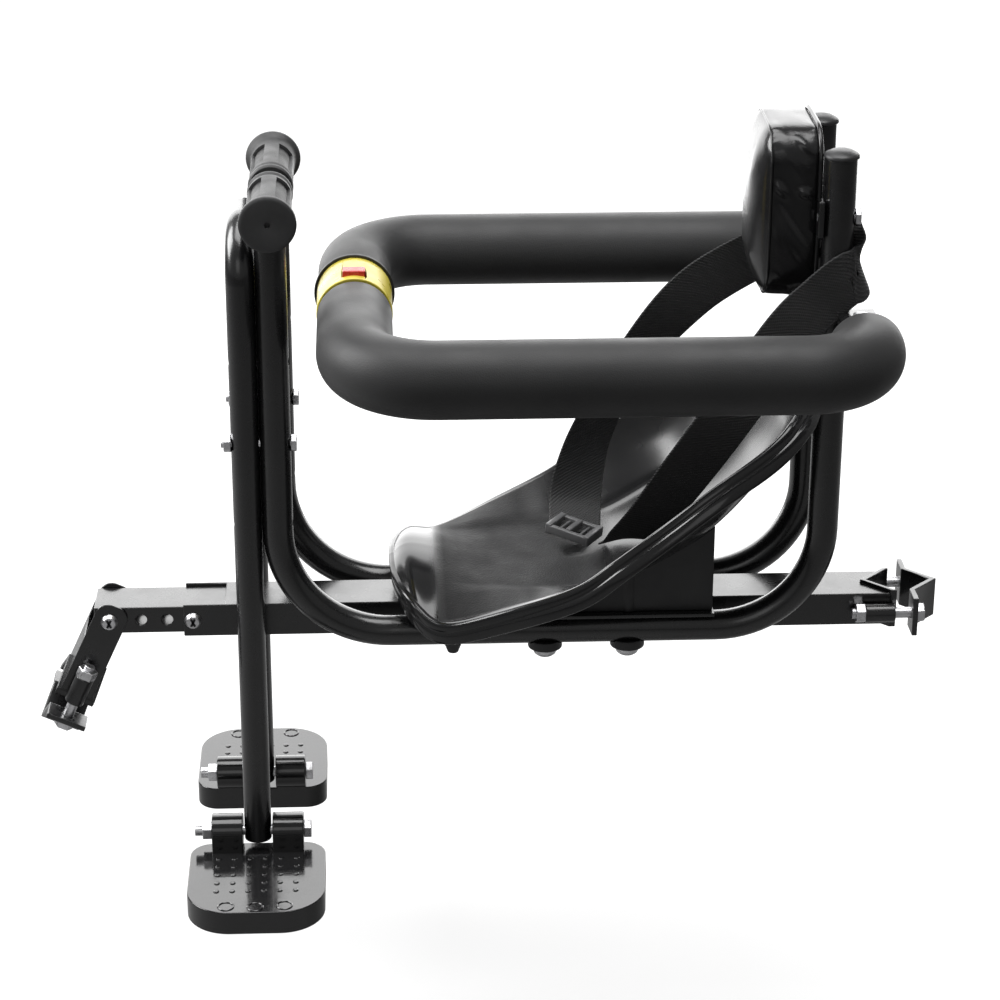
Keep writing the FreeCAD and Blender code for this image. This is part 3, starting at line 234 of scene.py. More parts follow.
# painted shade: a dark cross that stands for the shade in the driver's cross slot, sunk almost flush in the
# head of each side screw
out = Vector((0, -1, 0))
side = out.orthogonal().normalized()
other = out.cross(side)
shell = bmesh.new()
for name in ("extension_bolt", "arm_pivot_bolt"):
    low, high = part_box(name)
    spot = Vector(((low.x + high.x) / 2, low.y, (low.z + high.z) / 2))
    for long, wide in ((side, other), (other, side)):
        for vert in bmesh.ops.create_cube(shell, size=2.0)["verts"]:
            a, b, c = vert.co
            vert.co = (spot + (long + wide * CROSS_TURN) * a * CROSS_HALF
                       + (wide - long * CROSS_TURN) * b * CROSS_WIDE + out * c * CROSS_DEEP)
loose_mesh("side_screw_cross_shades", shell, recess_shade_finish, "frame")

soften("seat_bolts", "frame", BOLT_EDGE, zinc)
seat_low, seat_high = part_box("seat_bolts")
SEAT_BOLT_INSET, DOME_LIFT, DOME_AROUND = 0.0065, 0.0046, 40
# radius and drop of a seat bolt's domed head, from its flat face down to the middle of the dome
DOME_PROFILE = [(0.0, 0.0), (0.0078, 0.0), (0.0086, -0.0008), (0.0086, -0.0024), (0.0078, -0.0042),
                (0.0058, -0.0058), (0.0030, -0.0067), (0.0, -0.0069)]
shell = bmesh.new()
for x in (seat_low.x + SEAT_BOLT_INSET, seat_high.x - SEAT_BOLT_INSET):
    for y in (seat_low.y + SEAT_BOLT_INSET, seat_high.y - SEAT_BOLT_INSET):
        turned(shell, DOME_PROFILE, (x, y, seat_low.z + DOME_LIFT), (0, 0, 1), DOME_AROUND)
bmesh.ops.recalc_face_normals(shell, faces=shell.faces)
loose_mesh("seat_bolt_domes", shell, zinc, "frame")

# Post caps: soft black plastic plugs pushed into the tops of the rear posts, with a domed head
# that stands a little proud of the tube all round.
soft_plastic, tree, shader = new_finish("satin_black_plastic", (0.016, 0.016, 0.017), 0.42)
where = vary(tree, shader, (70, 0.34, 0.52), (25, (0.012, 0.012, 0.013), (0.022, 0.022, 0.023)))
relief(tree, shader, cloud(tree, where, 1600), 0.0002, 0.25, edge=0.0006)

CAP_FOOT, CAP_AROUND = 0.352, 64
cap_low, cap_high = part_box("post_caps")
cap_half = (cap_high.x - cap_low.x) / 2
post_x, post_y = (cap_low.x + cap_high.x) / 2, cap_high.y - cap_half
cap_profile = [(0.0, 0.0), (cap_half - 0.0012, 0.0), (cap_half, 0.0008), (cap_half, 0.0022),
               (cap_half - 0.0006, 0.0032), (cap_half - 0.0022, 0.0041), (cap_half * 0.6, 0.0055),
               (cap_half * 0.3, 0.0061), (0.0, 0.0063)]
shell = bmesh.new()
for side in (-1, 1):
    turned(shell, cap_profile, (post_x, side * post_y, CAP_FOOT), (0, 0, 1), CAP_AROUND)
bmesh.ops.recalc_face_normals(shell, faces=shell.faces)
loose_mesh("post_cap_pair", shell, soft_plastic, "frame", ("post_caps",))

# Handlebar grips: moulded grey-black rubber sleeves that nearly meet on the bar, each with
# a bead at its inner end, a row of sunken windows for the fingers and a mushroom end. The window floors carry
# painted shade: they are coloured near black.
grip_rubber, tree, shader = new_finish("grip_rubber", (0.03, 0.03, 0.031), 0.55)
where = place_on(tree)
tree.links.new(mottle(tree, where, 60, 0.46, 0.64), shader.inputs["Roughness"])
recess_shade_mask = add(tree, "ShaderNodeAttribute", attribute_name="recess_shade_mask").outputs["Fac"]
worn = tint(tree, mottle(tree, where, 40, 0, 1), (0.030, 0.030, 0.031), (0.046, 0.046, 0.047))
# painted shade: the floors of the finger windows are coloured near black for the shade that falls in them
painted_recess_shade = add(tree, "ShaderNodeMix", {"Factor": recess_shade_mask, "A": worn, "B": (0.007, 0.007, 0.0075, 1)},
             data_type="RGBA")
tree.links.new(painted_recess_shade.outputs["Result"], shader.inputs["Base Color"])
relief(tree, shader, cloud(tree, where, 1800), 0.0002, 0.35)

bar_low, bar_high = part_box("handlebar")
bar_x, bar_z = (bar_low.x + bar_high.x) / 2, (bar_low.z + bar_high.z) / 2
GRIP_AROUND, WINDOWS = 128, 4
WINDOW_FROM, WINDOW_TO, WINDOW_DEPTH = 0.0185, 0.0645, 0.0022
WINDOW_OPENS, WINDOW_CLOSES = 0.24, 0.76
# radius along the bar, from the middle of the bar to the end of the mushroom
GRIP_PROFILE = [(0.0113, 0.0060), (0.0146, 0.0060), (0.0154, 0.0066), (0.0159, 0.0078), (0.0159, 0.0098),
                (0.0153, 0.0110), (0.0149, 0.0122), (0.0149, 0.0136), (0.0155, 0.0148), (0.0155, 0.0180),
                (0.0155, 0.0186), (0.0155, 0.0192), (0.0155, 0.0300), (0.0155, 0.0400), (0.0155, 0.0500),
                (0.0155, 0.0600), (0.0155, 0.0638), (0.0155, 0.0644), (0.0155, 0.0650), (0.0157, 0.0690),
                (0.0163, 0.0730), (0.0176, 0.0758), (0.0190, 0.0770), (0.0196, 0.0780), (0.01975, 0.0792),
                (0.0195, 0.0808), (0.0186, 0.0817), (0.0170, 0.0820), (0.0110, 0.0820), (0.0030, 0.0820),
                (0.0021, 0.0818), (0.0019, 0.0795), (0.0, 0.0795)]
for side, name in ((-1, "left_grip"), (1, "right_grip")):
    shell = bmesh.new()
    hollow = shell.verts.layers.float.new("recess_shade_mask")
    rings = turned(shell, GRIP_PROFILE, (bar_x, 0, bar_z), (0, side, 0), GRIP_AROUND)
    for (radius, along), ring in zip(GRIP_PROFILE, rings):
        if not WINDOW_FROM < along < WINDOW_TO:
            continue
        for step, vert in enumerate(ring):
            share = (step * WINDOWS / GRIP_AROUND + 0.5) % 1
            if WINDOW_OPENS < share < WINDOW_CLOSES:
                centre = Vector((bar_x, vert.co.y, bar_z))
                vert.co -= (vert.co - centre).normalized() * WINDOW_DEPTH
                # marks the window floor for the painted shade in the grip's colour
                vert[hollow] = 1.0
    bmesh.ops.recalc_face_normals(shell, faces=shell.faces)
    loose_mesh(name + "_moulded", shell, grip_rubber, "frame", (name,))

# Footrests: injection-moulded gloss black plastic, hinged on the legs by ridged barrels. The
# treads carry rows of small studs and a few larger rings near the outer edge for grip.
foot_gloss, tree, shader = new_finish("gloss_black_plastic", (0.009, 0.009, 0.0095), 0.2,
                                      {"Coat Weight": 0.25})
where = vary(tree, shader, (45, 0.09, 0.19), (20, (0.007, 0.007, 0.0075), (0.013, 0.013, 0.0135)))
relief(tree, shader, cloud(tree, where, 240), 0.0003, 0.12)


def tree_with(name, sockets):
    """Empty Geometry Nodes tree with named inputs; returns it, what enters it and what leaves it."""
    tree = bpy.data.node_groups.new(name, "GeometryNodeTree")
    tree.is_modifier = True
    tree.interface.new_socket("Geometry", in_out="OUTPUT", socket_type="NodeSocketGeometry")
    tree.interface.new_socket("Geometry", in_out="INPUT", socket_type="NodeSocketGeometry")
    for label, kind in sockets:
        tree.interface.new_socket(label, in_out="INPUT", socket_type="NodeSocket" + kind)
    return tree, add(tree, "NodeGroupInput").outputs, add(tree, "NodeGroupOutput").inputs


def end_tree(tree, geometry, enter, leave):
    """Sends real geometry with the chosen finish out of a tree."""
    real = add(tree, "GeometryNodeRealizeInstances", {"Geometry": geometry})
    done = add(tree, "GeometryNodeSetMaterial",
               {"Geometry": real.outputs["Geometry"], "Material": enter["Finish"]})
    tree.links.new(done.outputs["Geometry"], leave["Geometry"])


def baked(item):
    """Mesh of an object with its modifiers applied."""
    return bpy.data.meshes.new_from_object(item.evaluated_get(bpy.context.evaluated_depsgraph_get()))


def grow(name, tree, source, values, modifiers=()):
    """Runs a tree on a mesh and gives back the plain mesh it makes."""
    carrier = put(name + "_carrier", source)
    maker = carrier.modifiers.new("maker", "NODES")
    ids = {item.name: item.identifier for item in tree.interface.items_tree
           if item.item_type == "SOCKET" and item.in_out == "INPUT"}
    maker.node_group = tree
    for label, value in values.items():
        maker[ids[label]] = value
    for kind, settings in modifiers:
        extra = carrier.modifiers.new(kind.lower(), kind)
        for key, value in settings.items():
            setattr(extra, key, value)
    bpy.context.view_layer.update()
    mesh = baked(carrier)
    mesh.name = name
    bpy.data.objects.remove(carrier)
    return mesh


def path_mesh(name, points, closed=False):
    """Bare line of edges through points."""
    mesh = bpy.data.meshes.new(name)
    count = len(points)
    edges = [(index, (index + 1) % count) for index in range(count if closed else count - 1)]
    mesh.from_pydata([Vector(point) for point in points], edges, [])
    return mesh


# rings stand on the tread: one ring at each point of the source mesh
ring_tree, enter, leave = tree_with("tread_rings", [("Ring Radius", "Float"), ("Wire Radius", "Float"),
                                                    ("Finish", "Material")])
loop = add(ring_tree, "GeometryNodeCurvePrimitiveCircle", {"Resolution": 32, "Radius": enter["Ring Radius"]})
wire = add(ring_tree, "GeometryNodeCurvePrimitiveCircle", {"Resolution": 10, "Radius": enter["Wire Radius"]})
torus = add(ring_tree, "GeometryNodeCurveToMesh",
            {"Curve": loop.outputs["Curve"], "Profile Curve": wire.outputs["Curve"]})
spread = add(ring_tree, "GeometryNodeInstanceOnPoints",
             {"Points": enter["Geometry"], "Instance": torus.outputs["Mesh"]})
end_tree(ring_tree, spread.outputs["Instances"], enter, leave)

FOOT_EDGE, TREAD_HEIGHT, RING_RADIUS, RING_WIRE = 0.0009, 0.018, 0.0055, 0.0008
RING_STEP, RING_INSET, MIDDLE_INSET = 0.021, 0.009, 0.0075
for side, name in ((-1, "left_footrest"), (1, "right_footrest")):
    soften(name, name, FOOT_EDGE, foot_gloss, segments=3)
    low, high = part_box(name)
    middle = (low.x + high.x) / 2
    outer = low.y if side < 0 else high.y
    spots = [(middle + step * RING_STEP, outer - side * (RING_INSET if step else MIDDLE_INSET),
              low.z + TREAD_HEIGHT) for step in (-1, 0, 1)]
    rings = grow(name + "_rings", ring_tree, path_mesh(name + "_spots", spots),
                 {"Ring Radius": RING_RADIUS, "Wire Radius": RING_WIRE, "Finish": foot_gloss})
    settle(name + "_tread_rings", rings, foot_gloss, name)

# Seat shell: blow-moulded bucket in black plastic. The pan and the back are grained and satin,
# the nose and the rolled rim are polished, and the rim has a small step half way down its lip.


def maths(tree, operation, *values):
    """One sum on sockets and numbers."""
    return add(tree, "ShaderNodeMath", dict(enumerate(values)), operation=operation).outputs["Value"]


shell_plastic, tree, shader = new_finish("moulded_seat_plastic", (0.013, 0.013, 0.0135), 0.3,
                                         {"Specular IOR Level": 0.5})
where = place_on(tree)
polish = add(tree, "ShaderNodeAttribute", attribute_name="polish").outputs["Fac"]
satin = mottle(tree, where, 45, 0.56, 0.72)
sheen = add(tree, "ShaderNodeMix", {"Factor": polish, "A": satin, "B": 0.14})
tree.links.new(sheen.outputs["Result"], shader.inputs["Roughness"])
tree.links.new(tint(tree, mottle(tree, where, 22, 0, 1), (0.010, 0.010, 0.0105), (0.018, 0.018, 0.0185)),
               shader.inputs["Base Color"])
pebble = add(tree, "ShaderNodeTexVoronoi", {"Vector": where, "Scale": 700}).outputs["Distance"]
relief(tree, shader, maths(tree, "MULTIPLY", pebble, maths(tree, "SUBTRACT", 1.0, polish)), 0.0004, 0.7)
gloss = add(tree, "ShaderNodeMapRange", {"Value": polish, "To Min": 0.16, "To Max": 0.5})
tree.links.new(gloss.outputs["Result"], shader.inputs["Specular IOR Level"])

# stations along the spine: place along and up, lean, half width, side rise
SEAT_NOSE, SEAT_BACK, PAN_HEIGHT, BACK_HEIGHT = -0.375, -0.086, 0.044, 0.180
SEAT_HALF, SIDE_RISE, SHELL_WALL = 0.120, 0.045, 0.0036
SHELL_STATIONS = [
    (0.006, -0.15, 90, 0.68, -0.66), (0.000, -0.05, 78, 0.70, -0.62), (0.040, 0.045, 36, 0.72, -0.60),
    (0.130, 0.022, 6, 0.76, -0.47), (0.277, -0.010, 0, 0.86, -0.01), (0.450, -0.002, 10, 0.95, 0.43),
    (0.605, 0.080, 34, 0.99, 0.80), (0.778, 0.305, 55, 1.00, 1.00), (0.907, 0.610, 72, 0.98, 0.90),
    (0.972, 0.840, 82, 0.88, 0.50), (1.000, 1.000, 90, 0.70, 0.10),
]
# half a section from the middle to the crest of the rim: share of the half width and of the rise
SECTION = [(0.00, 0.00), (0.18, 0.001), (0.36, 0.008), (0.50, 0.030), (0.58, 0.10), (0.68, 0.27),
           (0.78, 0.49), (0.860, 0.70), (0.910, 0.86), (0.940, 0.96), (0.962, 1.00)]
# the rolled lip that runs on from the crest all the way round: metres outwards and down
LIP = [(0.0020, -0.0002), (0.0036, 0.0006), (0.0044, 0.0022), (0.0046, 0.0052), (0.0039, 0.0063),
       (0.0040, 0.0076), (0.0050, 0.0086), (0.0054, 0.0104), (0.0054, 0.0140), (0.0048, 0.0162),
       (0.0032, 0.0170)]


def spline_at(rows, position):
    """Catmull-Rom through rows of numbers, at a place counted in rows."""
    index = min(int(position), len(rows) - 2)
    t = position - index
    before, first, last, after = (rows[max(0, min(index + k, len(rows) - 1))] for k in (-1, 0, 1, 2))
    if index == 0:
        before = [2 * a - b for a, b in zip(first, last)]
    if index == len(rows) - 2:
        after = [2 * b - a for a, b in zip(first, last)]
    return [0.5 * (2 * b + (c - a) * t + (2 * a - 5 * b + 4 * c - d) * t * t
                   + (3 * b - a - 3 * c + d) * t ** 3)
            for a, b, c, d in zip(before, first, last, after)]


def ramp(value, start, end):
    """Share of the way from start to end, held between 0 and 1."""
    return min(1.0, max(0.0, (value - start) / (end - start)))


CREST_SHARE = SECTION[-1][0]
NOSE_DOME, DOME_UPRIGHT = (0.277, 0.13), 0.5


def seat_section(station):
    """Points of one half section; the nose is domed, so its sides fall evenly from the middle."""
    along, up, lean, width, rise = station
    dome = ramp(along, *NOSE_DOME)
    foot = Vector((SEAT_NOSE + along * (SEAT_BACK - SEAT_NOSE), 0,
                   PAN_HEIGHT + up * (BACK_HEIGHT - PAN_HEIGHT)))
    turn = math.radians(lean)
    out = Vector((-math.sin(turn), 0, math.cos(turn))).lerp(Vector((0, 0, 1)), dome * DOME_UPRIGHT)
    return [component for y, n in SECTION
            for component in foot + Vector((0, y * width * SEAT_HALF, 0))
            + out * (n + ((y / CREST_SHARE) ** 2 - n) * dome) * rise * SIDE_RISE]


sections = [seat_section(station) for station in SHELL_STATIONS]


def crest_index(share):
    """Where on the half section a share of the half width lies, counted in its points."""
    for index in range(len(SECTION) - 1):
        if share <= SECTION[index + 1][0]:
            return index + (share - SECTION[index][0]) / (SECTION[index + 1][0] - SECTION[index][0])
    return len(SECTION) - 1


# rows of the grid: place along the stations and share of the width kept; the ends are rounded off
NOSE_START, NOSE_ROUND, BACK_ROUND = 1.40, 2.05, 0.55
NOSE_KEEP, BACK_KEEP = 0.22, 0.55
NOSE_ROWS, PAN_ROWS, BACK_ROWS = 24, 84, 12
LAST = len(SHELL_STATIONS) - 1


def kept_share(turn, keep):
    """Share of the width that a rounded end keeps, at a turn away from its straight sides."""
    return CREST_SHARE - (CREST_SHARE - keep) * (1 - math.cos(turn))


seat_rows = []
for step in range(NOSE_ROWS):
    turn = math.radians(90 * (1 - step / NOSE_ROWS))
    seat_rows.append((NOSE_START + NOSE_ROUND * (1 - math.sin(turn)), kept_share(turn, NOSE_KEEP)))
straight = LAST - BACK_ROUND - NOSE_START - NOSE_ROUND
seat_rows += [(NOSE_START + NOSE_ROUND + straight * step / PAN_ROWS, CREST_SHARE) for step in range(PAN_ROWS)]
for step in range(BACK_ROWS + 1):
    turn = math.radians(90 * step / BACK_ROWS)
    seat_rows.append((LAST - BACK_ROUND * (1 - math.sin(turn)), kept_share(turn, BACK_KEEP)))

SEAT_COLUMNS, PAN_DISH, MIDDLE_ROW = 33, 0.003, 40
# where the pan is dished and where the skin is polished, in points of the section and in stations
DISH_ACROSS, DISH_FRONT, DISH_REAR = (4.6, 3.0), (3.0, 3.6), (6.4, 5.2)
RIM_POLISH, NOSE_POLISH, BACK_POLISH = (8.4, 9.4), (3.0, 2.75), (5.0, 5.8)
WALL_ACROSS, WALL_ALONG = (3.2, 4.2), (4.4, 5.0)
shell = bmesh.new()
polish_layer = shell.verts.layers.float.new("polish")
grid = []
for place, share in seat_rows:
    half = spline_at(sections, place)
    points = [half[3 * index:3 * index + 3] for index in range(len(SECTION))]
    limit = crest_index(share)
    line = []
    for column in range(-SEAT_COLUMNS, SEAT_COLUMNS + 1):
        reach = min(abs(column) / SEAT_COLUMNS * limit, len(SECTION) - 1 - 1e-9)
        x, y, z = spline_at(points, reach)
        z -= PAN_DISH * ramp(reach, *DISH_ACROSS) * ramp(place, *DISH_FRONT) * ramp(place, *DISH_REAR)
        vert = shell.verts.new((x, y if column > 0 else -y, z))
        vert[polish_layer] = max(
            ramp(reach, *RIM_POLISH), ramp(reach, *WALL_ACROSS) * ramp(place, *WALL_ALONG),
            ramp(place, *NOSE_POLISH), ramp(place, *BACK_POLISH))
        line.append(vert)
    grid.append(line)
for below, above in zip(grid, grid[1:]):
    for column in range(2 * SEAT_COLUMNS):
        shell.faces.new((below[column], below[column + 1], above[column + 1], above[column]))


def face_up(shell, row):
    """Turns the skin over if its middle row looks down."""
    shell.normal_update()
    if sum(vert.normal.z for vert in row) < 0:
        bmesh.ops.reverse_faces(shell, faces=shell.faces)
        shell.normal_update()


face_up(shell, grid[MIDDLE_ROW])
NOSE_HANG, HANG_ALONG = 0.75, (-0.290, -0.335)
edge_loop = grid[0] + [line[-1] for line in grid[1:]] + grid[-1][-2::-1] + [line[0] for line in grid[-2:0:-1]]
lip_rings = []
count = len(edge_loop)
ways = []
for index, vert in enumerate(edge_loop):
    run = (edge_loop[(index + 1) % count].co - edge_loop[index - 1].co).normalized()
    ways.append((vert.normal.cross(run).normalized(), vert.normal.copy()))
for index, vert in enumerate(edge_loop):
    near = [ways[(index + step) % count] for step in (-2, -1, 0, 1, 2)]
    outwards = sum((way[0] for way in near), Vector()).normalized()
    upwards = sum((way[1] for way in near), Vector()).normalized()
    # round the nose the lip hangs straight down
    hang = NOSE_HANG * ramp(vert.co.x, *HANG_ALONG)
    upwards = upwards.lerp(Vector((0, 0, 1)), hang).normalized()
    outwards = (outwards - upwards * outwards.dot(upwards)).normalized()
    lip = [vert]
    for out, down in LIP:
        spot = shell.verts.new(vert.co + outwards * out - upwards * down)
        spot[polish_layer] = 1.0
        lip.append(spot)
    lip_rings.append(lip)
for index, lip in enumerate(lip_rings):
    after = lip_rings[(index + 1) % count]
    for level in range(len(LIP)):
        shell.faces.new((lip[level], lip[level + 1], after[level + 1], after[level]))
bmesh.ops.recalc_face_normals(shell, faces=shell.faces)
face_up(shell, grid[MIDDLE_ROW])

# a shallow moulded hollow in the pan, under the slider: an oval whose wall takes a share of its reach
HOLLOW_SPOT, HOLLOW_RADII = Vector((-0.237, 0.003, 0.045)), (0.013, 0.0065, 0.02)
HOLLOW_DEPTH, HOLLOW_WALL = 0.0045, 0.4
for vert in shell.verts:
    reach = math.sqrt(sum((a / r) ** 2 for a, r in zip(vert.co - HOLLOW_SPOT, HOLLOW_RADII)))
    if reach < 1:
        share = min(1.0, (1 - reach) / HOLLOW_WALL)
        vert.co -= vert.normal * HOLLOW_DEPTH * share * share * (3 - 2 * share)
seat = loose_mesh("moulded_seat", shell, shell_plastic, "frame", ("seat_shell",))
wall = seat.modifiers.new("wall", "SOLIDIFY")
wall.thickness = SHELL_WALL
wall.offset = -1
round_off = seat.modifiers.new("rounding", "SUBSURF")
round_off.levels = round_off.render_levels = 1

# Riser under the seat, the half-round saddle washers of its bolts and the plugs in the tubes: all
# small mouldings in satin black plastic, with slightly rounded edges.
MOULDED_EDGE = 0.0007
for name in ("seat_riser", "saddle_washers", "tube_plugs"):
    soften(name, "frame", MOULDED_EDGE, soft_plastic)

# Backrest cushion: foam pad in a glossy coated-fabric cover on a board. The cover has a front
# panel, a side band and piping along both seams; it creases where it is pulled round the corners.
cover, tree, shader = new_finish("glossy_coated_cover", (0.010, 0.010, 0.0105), 0.18)
where = vary(tree, shader, (60, 0.16, 0.26), (30, (0.008, 0.008, 0.0085), (0.014, 0.014, 0.0145)))
leather = add(tree, "ShaderNodeTexVoronoi", {"Vector": where, "Scale": 900})
relief(tree, shader, leather.outputs["Distance"], 0.00015, 0.3)

CUSHION_CORNER, CORNER_STEPS, SEAM_INSET, FRONT_SEAM = 0.022, 8, 0.0015, 0.006
BOARD_PRESS, VOXEL = 0.0025, 0.004
low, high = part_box("backrest_cushion")
high.x += BOARD_PRESS
half_y, low_z, high_z = high.y, low.z, high.z


def rounded_outline(half, bottom, top, corner, steps):
    """Points of a rounded rectangle across the seat, as y and z."""
    points = []
    for y, z, start in ((half - corner, top - corner, 0), (corner - half, top - corner, 90),
                        (corner - half, bottom + corner, 180), (half - corner, bottom + corner, 270)):
        for step in range(steps + 1):
            angle = math.radians(start + 90 * step / steps)
            points.append((y + corner * math.cos(angle), z + corner * math.sin(angle)))
    return points


outline = rounded_outline(half_y - SEAM_INSET, low_z + SEAM_INSET, high_z - SEAM_INSET, CUSHION_CORNER,
                          CORNER_STEPS)
shell = bmesh.new()
loops = [[shell.verts.new((x, y, z)) for y, z in outline] for x in (low.x + FRONT_SEAM, high.x)]
for step in range(len(outline)):
    after = (step + 1) % len(outline)
    shell.faces.new((loops[0][step], loops[0][after], loops[1][after], loops[1][step]))
shell.faces.new(loops[0])
shell.faces.new(loops[1])
bmesh.ops.recalc_face_normals(shell, faces=shell.faces)
pad = put("cushion_source", as_mesh("cushion_block", shell))
fine = pad.modifiers.new("fine", "REMESH")
fine.mode, fine.voxel_size = "VOXEL", VOXEL
bpy.context.view_layer.update()
pad_mesh = baked(pad)
bpy.data.objects.remove(pad)
pad = put("cushion_swollen", pad_mesh)
FRONT_DOME, DOME_BAND, DOME_FLAT, DOME_POWER = 0.011, 0.003, 1.25, 0.8
for vert in pad_mesh.vertices:
    if vert.co.x < low.x + FRONT_SEAM + DOME_BAND:
        across = max(0.0, 1 - (vert.co.y / half_y) ** 2)
        upright = max(0.0, 1 - ((vert.co.z * 2 - low_z - high_z) / (high_z - low_z)) ** 2)
        vert.co.x -= FRONT_DOME * min(1.0, DOME_FLAT * across) * min(1.0, DOME_FLAT * upright ** DOME_POWER)
start = [vert.co.copy() for vert in pad_mesh.vertices]


def seam_reach(point):
    """How far a point lies from the nearer of the two seams."""
    inset = min(half_y - SEAM_INSET - abs(point.y), point.z - low_z, high_z - point.z)
    return math.hypot(min(abs(point.x - low.x - FRONT_SEAM), abs(point.x - high.x)), max(0.0, inset))


HELD_REACH, HELD_BACK, PAD_LIMIT = 0.0035, 0.001, 0.004
CLOTH_FRAMES, CLOTH_PRESSURE, CLOTH_STIFFNESS = 20, 4, 8
held = pad.vertex_groups.new(name="held")
pinned = [index for index, spot in enumerate(start)
          if spot.x > high.x - HELD_BACK or seam_reach(spot) < HELD_REACH]
held.add(pinned, 1.0, "REPLACE")
cloth = pad.modifiers.new("cloth", "CLOTH")
cloth.settings.vertex_group_mass = "held"
cloth.settings.use_pressure = True
cloth.settings.uniform_pressure_force = CLOTH_PRESSURE
cloth.settings.effector_weights.gravity = 0
cloth.settings.tension_stiffness = cloth.settings.compression_stiffness = CLOTH_STIFFNESS
cloth.point_cache.frame_start, cloth.point_cache.frame_end = 1, CLOTH_FRAMES
for step in range(1, CLOTH_FRAMES + 1):
    bpy.context.scene.frame_set(step)
swollen = baked(pad)
for vert, rest in zip(swollen.vertices, start):
    move = vert.co - rest
    vert.co = rest + move * min(1.0, PAD_LIMIT / max(move.length, 1e-9))
bpy.context.scene.frame_set(1)
pad_mesh = swollen
bpy.data.objects.remove(pad)

shell = bmesh.new()
shell.from_mesh(pad_mesh)
bmesh.ops.smooth_vert(shell, verts=shell.verts, factor=0.5, use_axis_x=True, use_axis_y=True, use_axis_z=True)
bmesh.ops.subdivide_edges(shell, edges=shell.edges, cuts=1, use_grid_fill=True, smooth=0.6)
shell.normal_update()
# pulled creases: slanting ridges on the side bands, fading towards the seams, and a few sharp pulls
BAND_FACING, FRONT_FADE, REAR_FADE, SLANT_UP, SLANT_ALONG = 0.6, 0.008, 0.006, 0.55, 0.8
RIDGES, RIDGES_ALONG, RIDGES_ACROSS, RIDGE_FLOOR, RIDGE_RISE = 85, 22, 14, 0.22, 0.0036
RIPPLES, RIPPLES_ALONG, RIPPLE_SLICE, RIPPLE_RISE, PULL_WIDTH = 150, 50, 3.0, 0.0003, 0.0022
# each pull: its side, its middle along and up, the way it runs, its length and its rise
PULLS = [
    (-1, -0.1065, 0.3308, 0.68, -0.73, 0.0070, 0.0034), (-1, -0.0870, 0.3265, 0.88, -0.47, 0.0045, 0.0036),
    (-1, -0.1073, 0.3020, 0.32, -0.95, 0.0100, 0.0032), (-1, -0.0885, 0.3590, 0.80, -0.60, 0.0070, 0.0020),
    (1, -0.0990, 0.3150, 0.60, -0.80, 0.0080, 0.0030), (1, -0.0930, 0.3420, 0.75, 0.66, 0.0065, 0.0026),
]
for vert in shell.verts:
    if abs(vert.normal.x) > BAND_FACING:
        continue
    x, y, z = vert.co
    fade = ramp(x - low.x - FRONT_SEAM, 0, FRONT_FADE) * ramp(high.x - x, 0, REAR_FADE)
    slant = z * SLANT_UP + x * SLANT_ALONG
    ridge = noise.noise(Vector((slant * RIDGES, x * RIDGES_ALONG, y * RIDGES_ACROSS)))
    ripple = noise.noise(Vector((slant * RIPPLES, x * RIPPLES_ALONG, RIPPLE_SLICE)))
    fold = max(0.0, ridge - RIDGE_FLOOR) * RIDGE_RISE + ripple * RIPPLE_RISE
    for side, pull_x, pull_z, run_x, run_z, length, rise in PULLS:
        if y * side > 0 and abs(vert.normal.y) > BAND_FACING:
            along = ((x - pull_x) * run_x + (z - pull_z) * run_z) / length
            across = ((x - pull_x) * run_z - (z - pull_z) * run_x) / PULL_WIDTH
            fold += rise * math.exp(-along ** 2 - across ** 2)
    vert.co += vert.normal * fold * fade
cushion = loose_mesh("backrest_pad", shell, cover, "frame", ("backrest_cushion",))
soft = cushion.modifiers.new("rounding", "SUBSURF")
soft.levels = soft.render_levels = 1

# Piping: a cord in a folded strip of the cover, sewn into the front and the rear seam of the
# cushion. It follows the rounded corners and is thicker at the rear.
pipe_tree, enter, leave = tree_with("tube_along_path", [("Diameter", "Float"), ("Bend", "Float"),
                                                        ("Around", "Int"), ("Finish", "Material")])
line = add(pipe_tree, "GeometryNodeMeshToCurve", {"Mesh": enter["Geometry"]})
own_bend = add(pipe_tree, "GeometryNodeInputNamedAttribute", {"Name": "bend"})
bend = maths(pipe_tree, "MAXIMUM", enter["Bend"], own_bend.outputs["Attribute"])
bent = add(pipe_tree, "GeometryNodeFilletCurve",
           {"Curve": line.outputs["Curve"], "Count": 24, "Radius": bend, "Limit Radius": True}, mode="POLY")
radius = maths(pipe_tree, "MULTIPLY", enter["Diameter"], 0.5)
round_section = add(pipe_tree, "GeometryNodeCurvePrimitiveCircle",
                    {"Resolution": enter["Around"], "Radius": radius})
sweep = add(pipe_tree, "GeometryNodeCurveToMesh",
            {"Curve": bent.outputs["Curve"], "Profile Curve": round_section.outputs["Curve"]})
end_tree(pipe_tree, sweep.outputs["Mesh"], enter, leave)

# each cord: its place along the seat, its thickness and how far it lies inside the pad's outline
PIPING = [("front", low.x + FRONT_SEAM, 0.0017, 0.0022), ("rear", high.x - 0.0010, 0.0034, 0.0012)]
PIPING_AROUND = 12
for label, x, thick, inset in PIPING:
    reach, top, bottom = half_y - inset, high_z - inset, low_z + inset
    corners = [(x, reach, top), (x, -reach, top), (x, -reach, bottom), (x, reach, bottom)]
    cord = grow(label + "_piping", pipe_tree, path_mesh(label + "_seam", corners, closed=True),
                {"Diameter": thick, "Bend": CUSHION_CORNER + inset, "Around": PIPING_AROUND, "Finish": cover})
    settle("cushion_piping_" + label, cord, cover, "frame")

